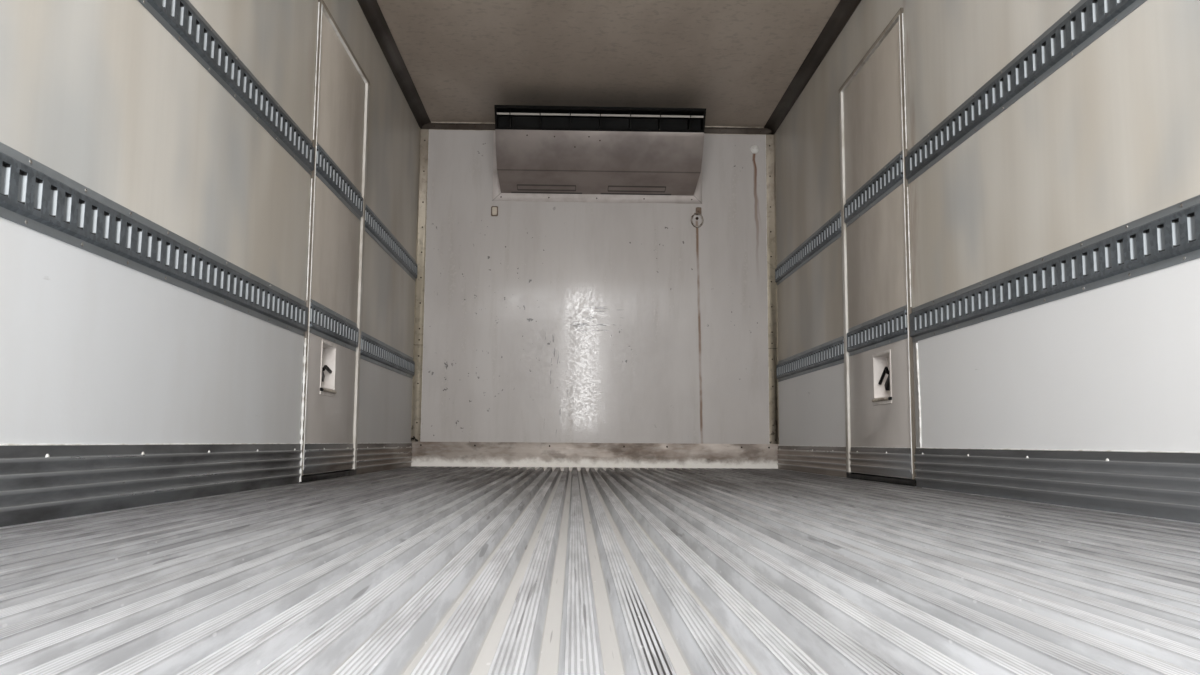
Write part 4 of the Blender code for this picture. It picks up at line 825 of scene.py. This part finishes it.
for start, end in ACCESS_PLATES:
    across = abs(cover_steel.x - (start + end) / 2) - (end - start) / 2
    along = abs(cover_steel.y - PLATE_MIDDLE) - PLATE_HALF
    end_line = cover_steel.near(across, 0.0, 0.0016, 0.0012)
    lines = lines + end_line * cover_steel.rise(along, 0.0, 0.001, 1.0, 0.0)
    long_line = cover_steel.near(along, 0.0, 0.009, 0.004)
    lines = lines + long_line * cover_steel.rise(across, 0.0, 0.001, 1.0, 0.0)
    # Each slot is a dark patch: painted shade where the opening's inside would be.
    gap_end = abs(cover_steel.x - (start + end) / 2) - SLOT_HALF_WIDTH
    gap = gap_end.worked("MAXIMUM", gap_end, SLOT_START - cover_steel.y)
    cover_slot_shade = cover_slot_shade + cover_steel.rise(gap, -0.004, 0.0, 1.0, 0.0)
tone = cover_steel.layered(paint(182, 173, 169), [
    (mist, (150, 141, 138)),
    (0.45 * brown, (124, 108, 100)),
    (0.5 * fold + 0.8 * lines * level_face, (52, 45, 41)),
])
cover_steel.feed("Base Color", cover_steel.blend(0.85 * cover_slot_shade * level_face, tone, paint(30, 26, 24)))
cover_steel.feed("Roughness", 0.34 + 0.14 * satin + 0.1 * mist)
cover_steel.emboss(satin * 0.3 - lines * level_face, 0.0006)
dress(cover_steel, "evaporator_cover", edge=0.001, turned=25)
# The screws stand on the cover's sloping face.
SLOPE = (0, -0.87, -0.49)
COVER_SCREWS = (
    (-0.4247, 2.3494, 2.2817), (-0.2653, 2.352, 2.2773), (-0.0641, 2.351, 2.279),
    (-0.1458, 2.3871, 2.2279), (0.0, 2.362, 2.2613),
)
cover_screws = [((x, y + 0.0008, z + 0.0004), SLOPE) for x, y, z in COVER_SCREWS]
fasteners("cover_screws", "box", dark_screw, cover_screws, radius=0.0045, dome=0.0022)

# The flange that frames the unit's foot is painted like the panel behind it, mitred at its corners.
flange_paint = Finish("flange_paint", rough=0.38)
flange_low, flange_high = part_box("evaporator_flange")
mitre = flange_paint.out - flange_high.x + flange_paint.z - flange_low.z
mitre = flange_paint.near(mitre, 0.0, 0.001, 0.001)
ingrained = flange_paint.patches(0.42, 0.7, 9.0, detail=5.0)
tone = flange_paint.blend(0.5 * ingrained, paint(206, 198, 194), paint(172, 162, 156))
flange_paint.feed("Base Color", flange_paint.blend(0.85 * mitre, tone, paint(44, 40, 38)))
flange_paint.feed("Roughness", 0.32 + 0.2 * ingrained)
flange_paint.emboss(flange_paint.grain(60.0), 0.0003)
dress(flange_paint, "evaporator_flange", edge=0.0005)
FLANGE_SCREWS = (-0.609, -0.308, -0.006, 0.294, 0.597)
FLANGE_SCREW_RISE = 0.026
flange_screws = [
    ((x, flange_low.y + 0.0002, flange_low.z + FLANGE_SCREW_RISE), (0, -1, 0)) for x in FLANGE_SCREWS
]
fasteners("flange_screws", "box", dark_screw, flange_screws, radius=0.0046, dome=0.002)


# Small fittings on the bulkhead
# A white plastic cap in a hole high on the right. Below the unit's right corner a brown tie plate
# and a spring clip held by one screw, and below its left corner a cream tie plate on a brown one.
panel_y = kick_high.y + 0.0003
cap_white = Finish("cap_white", rough=0.35)
cap_dirt = cap_white.patches(0.45, 0.7, 30.0)
cap_white.feed("Base Color", cap_white.blend(0.4 * cap_dirt, paint(226, 224, 220), paint(160, 152, 142)))
cap_white.feed("Roughness", 0.3 + 0.2 * cap_dirt)
cap_spot = [((CAP[0], panel_y, CAP[1]), (0, -1, 0))]
fasteners(
    "drain_cap", "box", cap_white, cap_spot,
    radius=0.0285, dome=0.007, sides=28, driven=False,
)


def tie_plate(name, finish, centre, size, thick):
    """A flat plate with a raised rim and rounded corners, fixed on the bulkhead."""
    mesh = bpy.data.meshes.new(name)
    plate = bmesh.new()
    bmesh.ops.create_grid(plate, x_segments=1, y_segments=1, size=0.5)
    plate.transform(Matrix.Diagonal((size[0], size[1], 1, 1)))
    bmesh.ops.bevel(plate, geom=plate.verts[:], offset=0.004, segments=3, affect="VERTICES")
    walls = bmesh.ops.extrude_face_region(plate, geom=plate.faces[:])
    raised = [part for part in walls["geom"] if isinstance(part, bmesh.types.BMVert)]
    bmesh.ops.translate(plate, verts=raised, vec=(0, 0, thick))
    top = [part for part in walls["geom"] if isinstance(part, bmesh.types.BMFace)]
    bmesh.ops.inset_region(plate, faces=top, thickness=0.003, depth=-thick * 0.4)
    bmesh.ops.recalc_face_normals(plate, faces=plate.faces)
    facing = Vector((0, -1, 0)).to_track_quat("Z", "X").to_matrix().to_4x4()
    plate.transform(Matrix.Translation((centre[0], panel_y, centre[1])) @ facing)
    plate.to_mesh(mesh)
    plate.free()
    fit(name, mesh, finish, "box")


tie_brown = Finish("tie_brown", rough=0.5)
tie_wear = tie_brown.patches(0.4, 0.65, 60.0)
tie_brown.feed("Base Color", tie_brown.blend(tie_wear, paint(124, 106, 92), paint(92, 76, 64)))
tie_brown.feed("Roughness", 0.42 + 0.2 * tie_wear)
TIE_RIGHT = (0.64, 1.966)
TIE_LEFT = (-0.648, 1.949)
tie_plate("tie_plate_right", tie_brown, TIE_RIGHT, (0.05, 0.036), thick=0.006)
tie_plate("tie_plate_left_back", tie_brown, TIE_LEFT, (0.064, 0.044), thick=0.004)
tie_plate("tie_plate_left", pale_bead, TIE_LEFT, (0.05, 0.03), thick=0.009)
# One and a half turns of spring wire round the clip's screw, twelve steps to a turn.
COIL_WIDE = 0.036
COIL_HIGH = 0.044
COIL_DROP = 0.012
coil = [
    (CLIP[0] + COIL_WIDE * math.cos(turn / 6 * math.pi), panel_y - 0.004 - 0.0005 * turn,
     CLIP[1] - COIL_DROP + COIL_HIGH * math.sin(turn / 6 * math.pi))
    for turn in range(-4, 14)
]
clip_wire = Finish("clip_wire", metal=0.5, rough=0.45)
wire_dirt = clip_wire.patches(0.42, 0.6, 40.0)
clip_wire.feed("Base Color", clip_wire.blend(wire_dirt, paint(182, 174, 164), paint(104, 92, 80)))
clip_wire.feed("Roughness", 0.4 + 0.2 * wire_dirt)
bead("sensor_clip", "box", clip_wire, coil, radius=0.0052, lumps=0.0, seed=1, step=0.03)
clip_screw = [((CLIP[0], panel_y - 0.0002, CLIP[1]), (0, -1, 0))]
fasteners(
    "clip_screw", "box", dark_screw, clip_screw, radius=0.0095, dome=0.012, sides=12
)


# Doors, doorway frames and what they carry
# Each leaf is a sandwich panel like the walls, hung on steel straps. The side doorways are lined
# with aluminium sealed to the wall, and the rear leaves close on black rubber.
LEAF_CORE = (1.2, 1.21)
SIDE_STRAP_FACE = (1.2205, 1.221)
door_sheet = Finish("door_sheet", rough=0.4)
inner_side = door_sheet.rise(door_sheet.out, *LEAF_CORE, 1.0, 0.0)
straps = door_sheet.rise(door_sheet.out, *SIDE_STRAP_FACE)
streak = door_sheet.patches(0.4, 0.7, 2.0, (1.5, 1.5, 0.6), detail=4.0)
low_part = door_sheet.rise(door_sheet.z, 0.93, 0.99, 1.0, 0.0)
tone = door_sheet.layered(paint(206, 198, 188), [
    (0.4 * streak, (174, 165, 153)),
    (0.75 * low_part, (212, 207, 204)),
])
grey = door_sheet.patches(0.4, 0.7, 2.0, (1, 1, 2))
grey = grey * door_sheet.rise(door_sheet.z, 0.3, 1.1, 1.0, 0.2)
skin = door_sheet.layered(paint(233, 234, 234), [
    (0.4 * grey, (178, 173, 164)),
    (straps, (176, 178, 180)),
])
door_sheet.feed("Base Color", door_sheet.blend(inner_side, skin, tone))
door_sheet.feed("Roughness", 0.34 + 0.2 * streak - 0.05 * straps)
door_sheet.feed("Metallic", 0.9 * straps)
door_sheet.emboss(door_sheet.grain(120.0, detail=3.0), 0.0003)
dress(door_sheet, "side_door_left", "side_door_right", edge=0.001)

# At rest the rear leaves stand open beside the box, with their straps towards it.
REAR_STRAP_FACE = (1.2695, 1.27)
rear_sheet = Finish("rear_sheet", rough=0.32)
grey = rear_sheet.patches(0.4, 0.7, 2.0, (1, 2, 0.7), detail=5.0)
straps = rear_sheet.rise(rear_sheet.out, *REAR_STRAP_FACE, 1.0, 0.0)
tone = rear_sheet.blend(0.35 * grey, paint(228, 228, 225), paint(184, 179, 170))
rear_sheet.feed("Base Color", rear_sheet.blend(straps, tone, paint(178, 179, 180)))
rear_sheet.feed("Roughness", 0.3 + 0.2 * grey)
rear_sheet.feed("Metallic", 0.9 * straps)
rear_sheet.emboss(rear_sheet.grain(120.0, detail=3.0), 0.0003)
dress(rear_sheet, "rear_door_left", "rear_door_right", edge=0.001)
dress(rubber, "rear_gasket_left", "rear_gasket_right", edge=0.003)
dress(brushed_steel, "rear_lock_bar_left", "rear_lock_bar_right", edge=0.001)
dress(brushed_steel, "side_lock_bar_left", "side_lock_bar_right", edge=0.001)

# Each doorway frame is lined in the wall's colour on its free side, and left white on the hinge side
# and along its inner edge, where the leaf shuts. Its sill is black.
SILL_TOP = (0.378, 0.382)
LINTEL_FOOT = (2.176, 2.1775)
LINTEL_TOP = (2.1905, 2.192)
FREE_EDGE = (0.0145, 0.016)
doorway_trim = Finish("doorway_trim", metal=0.1, rough=0.42)
door_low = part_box("side_door_frame_right")[0]
sill = doorway_trim.rise(doorway_trim.z, *SILL_TOP, 1.0, 0.0)
used = doorway_trim.patches(0.4, 0.7, 7.0, (1, 1, 0.5))
free_span = [door_low.y + wide for wide in FREE_EDGE]
free_edge = doorway_trim.rise(doorway_trim.y, *free_span, 1.0, 0.0)
lintel = doorway_trim.rise(doorway_trim.z, *LINTEL_FOOT)
matched = free_edge.worked("MAXIMUM", free_edge, lintel)
seam = doorway_trim.near(doorway_trim.y, door_low.y + 0.001, 0.0022, 0.001)
seam = seam.worked("MAXIMUM", seam, doorway_trim.rise(doorway_trim.z, *LINTEL_TOP))
tone = doorway_trim.blend(used, paint(226, 223, 217), paint(186, 179, 168))
liner = doorway_trim.blend(used, paint(176, 168, 156), paint(150, 140, 126))
tone = doorway_trim.blend(matched, tone, liner)
tone = doorway_trim.blend(0.75 * seam, tone, paint(70, 62, 54))
doorway_trim.feed("Base Color", doorway_trim.blend(sill, tone, paint(9, 9, 9)))
doorway_trim.feed("Roughness", 0.38 + 0.2 * used)
doorway_trim.emboss(doorway_trim.grain(80.0), 0.0003)
dress(doorway_trim, "side_door_frame_left", "side_door_frame_right", edge=0.001)
# Sealant closes the free edge, thick from the floor to the lower rail and thin between the rails
# above, and a thin line of it runs up the edge where the leaf shuts.
# The thick bead of each doorway: its points (out, back from the frame, up), its radius and lumps.
BEAD_RUNS = {
    "left": (((1.1225, 0.0, 0.358), (1.1225, 0.0, 0.5), (1.1225, 0.0, 0.88)), 0.0042, 1.1),
    "right": (((1.127, 0.05, 0.484), (1.127, 0.054, 0.62), (1.127, 0.042, 0.88)), 0.0036, 0.7),
}
LINE_SPANS = ((1.02, 1.48), (1.63, 2.17))
LINE_OUT = 1.1238
LEAF_LINE_SPAN = (0.4, 2.17)
frame_face = door_low.x + 0.0004
edge_y = door_low.y - 0.0022
leaf_edge_y = door_low.y + 0.0176
for label, side in (("left", -1), ("right", 1)):
    spots, size, lumps = BEAD_RUNS[label]
    path = [(side * out, edge_y - back, up) for out, back, up in spots]
    bead(
        "doorway_bead_" + label, "box", sealant, path,
        radius=size, lumps=lumps, seed=21 + side, step=0.012,
    )
    for row, span in enumerate(LINE_SPANS):
        path = [(side * LINE_OUT, edge_y, up) for up in span]
        bead(
            "doorway_line_%s_%d" % (label, row), "box", sealant, path,
            radius=0.0022, lumps=0.5, seed=51 + row, step=0.02,
        )
    path = [(side * frame_face, leaf_edge_y, up) for up in LEAF_LINE_SPAN]
    bead(
        "leaf_line_" + label, "box", sealant, path,
        radius=0.0027, lumps=0.3, seed=31 + side, step=0.03,
    )

# Each side leaf has a moulded pale recess let into it for the hand, with the release lever inside.
# The hollow's sides are painted near black: painted shade.
TRAY_FLOOR = 1.185
# The lever's points, along the wall and up, and how far out it stands.
LEVERS = {
    "left": ((0.79, 0.79), (0.826, 0.804), (0.903, 0.789)),
    "right": ((0.79, 0.796), (0.81, 0.8175), (0.895, 0.76)),
}
LEVER_DEPTH = 1.142
# Each handle recess: its side, then the middle of its hollow along the wall and up.
RECESSES = ((-1, 0.811, 0.8024), (1, 0.8215, 0.7864))
HOLLOW_HALF = (0.1, 0.0855)
recess_sheet = Finish("recess_sheet", rough=0.38)
off_floor = recess_sheet.rise(recess_sheet.out, TRAY_FLOOR - 0.0009, TRAY_FLOOR - 0.0005, 1.0, 0.0)
recess_wear = recess_sheet.patches(0.4, 0.7, 12.0)
# Where the hollow's sides are, painted near black as painted shade.
hollow_shade = 0.0
for side, along, up in RECESSES:
    here = recess_sheet.rise(recess_sheet.x * side, 0.0, 0.01)
    box_y = recess_sheet.near(recess_sheet.y, along, HOLLOW_HALF[0], 0.0005)
    box_z = recess_sheet.near(recess_sheet.z, up, HOLLOW_HALF[1], 0.0005)
    hollow_shade = hollow_shade + here * box_y * box_z
tone = recess_sheet.blend(0.5 * recess_wear, paint(228, 222, 217), paint(190, 180, 172))
recess_sheet.feed("Base Color", recess_sheet.blend(hollow_shade * off_floor, tone, paint(20, 20, 21)))
recess_sheet.feed("Roughness", 0.34 + 0.2 * recess_wear)
recess_sheet.emboss(recess_sheet.grain(90.0), 0.0003)
dress(recess_sheet, "handle_recess_left", "handle_recess_right", edge=0.001)

# On each side leaf three coach bolts go through every hinge strap. The inner release is a black
# bent rod that turns on a boss in the recess, without a joint, and a pale bar with a black end
# runs along the recess's foot.
SIDE_STRAPS = (0.5739, 1.2744, 1.9749)
SIDE_PIN_Y = 1.3125
BOLT_OUT = 1.2278
BOLTS_BACK = (0.07, 0.14, 0.21)
BAR_OUT = 1.1235
BAR_DROP = 0.097
BAR_SPAN = (-0.1, 0.112)
BAR_END_SPAN = (-0.114, -0.1)
for label, (side, middle, up) in zip(("left", "right"), RECESSES):
    leaf = "side_door_" + label
    spots = [
        ((side * BOLT_OUT, SIDE_PIN_Y - back, high), (side, 0, 0))
        for high in SIDE_STRAPS for back in BOLTS_BACK
    ]
    fasteners(
        "side_strap_bolts_" + label, leaf, screw_steel, spots, radius=0.009, dome=0.004
    )
    lever = [(side * LEVER_DEPTH, along, high) for along, high in LEVERS[label]]
    bead(
        "release_lever_" + label, leaf, black_plastic, lever,
        radius=0.0075, lumps=0.0, seed=1, step=0.02,
    )
    boss = [((side * (TRAY_FLOOR - 0.001), *LEVERS[label][0]), (-side, 0, 0))]
    fasteners(
        "release_boss_" + label, leaf, black_plastic, boss,
        radius=0.011, dome=0.044, sides=20,
    )
    bar = [(side * BAR_OUT, middle + along, up - BAR_DROP) for along in BAR_SPAN]
    bead(
        "recess_bar_" + label, leaf, pale_bead, bar,
        radius=0.0065, lumps=0.0, seed=1, step=0.05,
    )
    end = [(side * BAR_OUT, middle + along, up - BAR_DROP) for along in BAR_END_SPAN]
    bead(
        "recess_bar_end_" + label, leaf, black_plastic, end,
        radius=0.0075, lumps=0.0, seed=1, step=0.01,
    )


# Condenser unit
# The cooling unit's outer half on the front of the box: a moulded white shell, a black grille
# let into its face, and two black axial fans behind the bars.
SHELL_SEAM = 0.745
FIN_TURNS = 900.0
unit_shell = Finish("unit_shell", rough=0.3, fixed={"Coat Weight": 0.3, "Coat Roughness": 0.1})
fly = unit_shell.patches(0.42, 0.72, 3.0, detail=5.0)
seam = unit_shell.near(unit_shell.out, SHELL_SEAM, 0.0016, 0.0014)
tone = unit_shell.layered(paint(234, 235, 235), [
    (0.35 * fly, (186, 182, 174)),
    (0.8 * seam, (44, 44, 44)),
])
# Behind the grille the hollow is lined with the dark fins of the condenser.
grille_low, grille_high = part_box("condenser_grille")
grille_mid = (grille_low + grille_high) / 2
hollow = unit_shell.rise(unit_shell.out, grille_high.x + 0.001, grille_high.x + 0.003, 1.0, 0.0)
half_height = (grille_high.z - grille_low.z) / 2 + 0.002
hollow = hollow * unit_shell.near(unit_shell.z, grille_mid.z, half_height, 0.001)
hollow = hollow * unit_shell.rise(unit_shell.y, grille_high.y - 0.003, grille_high.y - 0.001, 1.0, 0.0)
fins = unit_shell.rise(unit_shell.x.worked("COSINE", unit_shell.x * FIN_TURNS), -0.4, 0.4)
core = unit_shell.blend(fins, paint(22, 23, 24), paint(58, 60, 62))
unit_shell.feed("Base Color", unit_shell.blend(hollow, tone, core))
unit_shell.feed("Roughness", 0.26 + 0.25 * fly)
unit_shell.emboss(unit_shell.grain(90.0, detail=2.0) * 0.3 - 3.0 * seam, 0.0006)
dress(unit_shell, "condenser_housing", edge=0.003)
dress(black_plastic, "condenser_grille", "condenser_fan_left", "condenser_fan_right", edge=0.001)


# Where the body stands, the light and the camera
# The body stands on its sills on a plain pale floor. Soft light comes from all round, and inside
# from just outside the open rear doorway, with a brighter upright strip in the middle of it.
GROUND_RADIUS = 40.0
ground = bpy.data.objects.new("ground", bpy.data.meshes.new("ground"))
disc = bmesh.new()
bmesh.ops.create_circle(disc, cap_ends=True, segments=96, radius=GROUND_RADIUS)
disc.to_mesh(ground.data)
disc.free()
bpy.context.scene.collection.objects.link(ground)
ground_paint = Finish("ground_paint", rough=0.8)
dry = ground_paint.grain(0.8)
ground_paint.feed("Base Color", ground_paint.blend(dry, paint(214, 213, 211), paint(222, 221, 219)))
ground.data.materials.append(ground_paint.material)

world = bpy.data.worlds.new("surroundings")
bpy.context.scene.world = world
world.use_nodes = True
sky = world.node_tree.nodes["Background"]
sky.inputs["Color"].default_value = (1.0, 1.0, 1.0, 1.0)
seen = world.node_tree.nodes.new("ShaderNodeLightPath")
glow = world.node_tree.nodes.new("ShaderNodeMath")
glow.operation = "MAXIMUM"
world.node_tree.links.new(seen.outputs["Is Camera Ray"], glow.inputs[0])
world.node_tree.links.new(seen.outputs["Is Glossy Ray"], glow.inputs[1])
LIT_LEVEL = 0.66
SEEN_LEVEL = 0.8
level = world.node_tree.nodes.new("ShaderNodeMapRange")
level.inputs["To Min"].default_value = LIT_LEVEL
level.inputs["To Max"].default_value = SEEN_LEVEL
world.node_tree.links.new(glow.outputs[0], level.inputs["Value"])
world.node_tree.links.new(level.outputs[0], sky.inputs["Strength"])


def soft_box(name, place, aim, size, power, spread=math.pi, mirrored=True):
    """A soft light that faces its aim. It isn't seen itself, only mirrored where that is wanted."""
    lamp = bpy.data.lights.new(name, "AREA")
    lamp.shape = "RECTANGLE"
    lamp.size, lamp.size_y = size
    lamp.energy = power
    made = bpy.data.objects.new(name, lamp)
    made.location = place
    made.rotation_euler = (Vector(aim) - Vector(place)).to_track_quat("-Z", "Y").to_euler()
    made.visible_camera = False
    made.visible_glossy = mirrored
    lamp.spread = spread
    bpy.context.scene.collection.objects.link(made)


# The glossy bulkhead mirrors the strip of daylight, but not the wide light before it.
DAYLIGHT_SPREAD = math.radians(150)
BODY_MIDDLE = (0.0, 0.0, 1.2)
soft_box(
    "doorway_light", (-0.15, -3.75, 1.55), (0.0, 0.0, 1.35), (1.9, 2.3), power=82,
    spread=DAYLIGHT_SPREAD, mirrored=False,
)
soft_box("doorway_strip", (-0.02, -4.6, 1.66), (-0.02, 0.0, 1.66), (0.46, 1.9), power=38)
soft_box("left_light", (-8.0, 1.0, 6.0), BODY_MIDDLE, (5.0, 5.0), power=230)
soft_box("right_light", (8.0, 1.0, 6.0), BODY_MIDDLE, (5.0, 5.0), power=200)
soft_box("front_light", (0.0, 9.0, 5.0), BODY_MIDDLE, (5.0, 4.0), power=170)
soft_box("rear_light", (0.0, -11.0, 5.0), (0.0, -3.3, 1.2), (5.0, 4.0), power=300)

# The camera stands just inside the doorway, below the middle of it, and looks a little up. Its
# stand is measured across the box, back from the bulkhead and up.
YAW, PITCH, ROLL = 0.0263, 0.1094, 0.0071
CAMERA_STAND = (-0.134, 5.909, 0.5069)
LENS = 28.66
look = Vector((math.sin(YAW) * math.cos(PITCH), math.cos(YAW) * math.cos(PITCH), math.sin(PITCH)))
level_right = Vector((math.cos(YAW), -math.sin(YAW), 0.0))
level_up = level_right.cross(look)
right = math.cos(ROLL) * level_right + math.sin(ROLL) * level_up
upward = -math.sin(ROLL) * level_right + math.cos(ROLL) * level_up
camera = bpy.data.objects.new("camera", bpy.data.cameras.new("camera"))
camera.data.sensor_width = 36.0
camera.data.lens = LENS
camera.data.clip_start = 0.02
camera.data.clip_end = 200.0
stand = Matrix.Translation((CAMERA_STAND[0], panel_y - CAMERA_STAND[1], CAMERA_STAND[2]))
camera.matrix_world = stand @ Matrix((right, upward, -look)).transposed().to_4x4()
bpy.context.scene.collection.objects.link(camera)
bpy.context.scene.camera = camera
bpy.context.scene.view_settings.view_transform = "Standard"
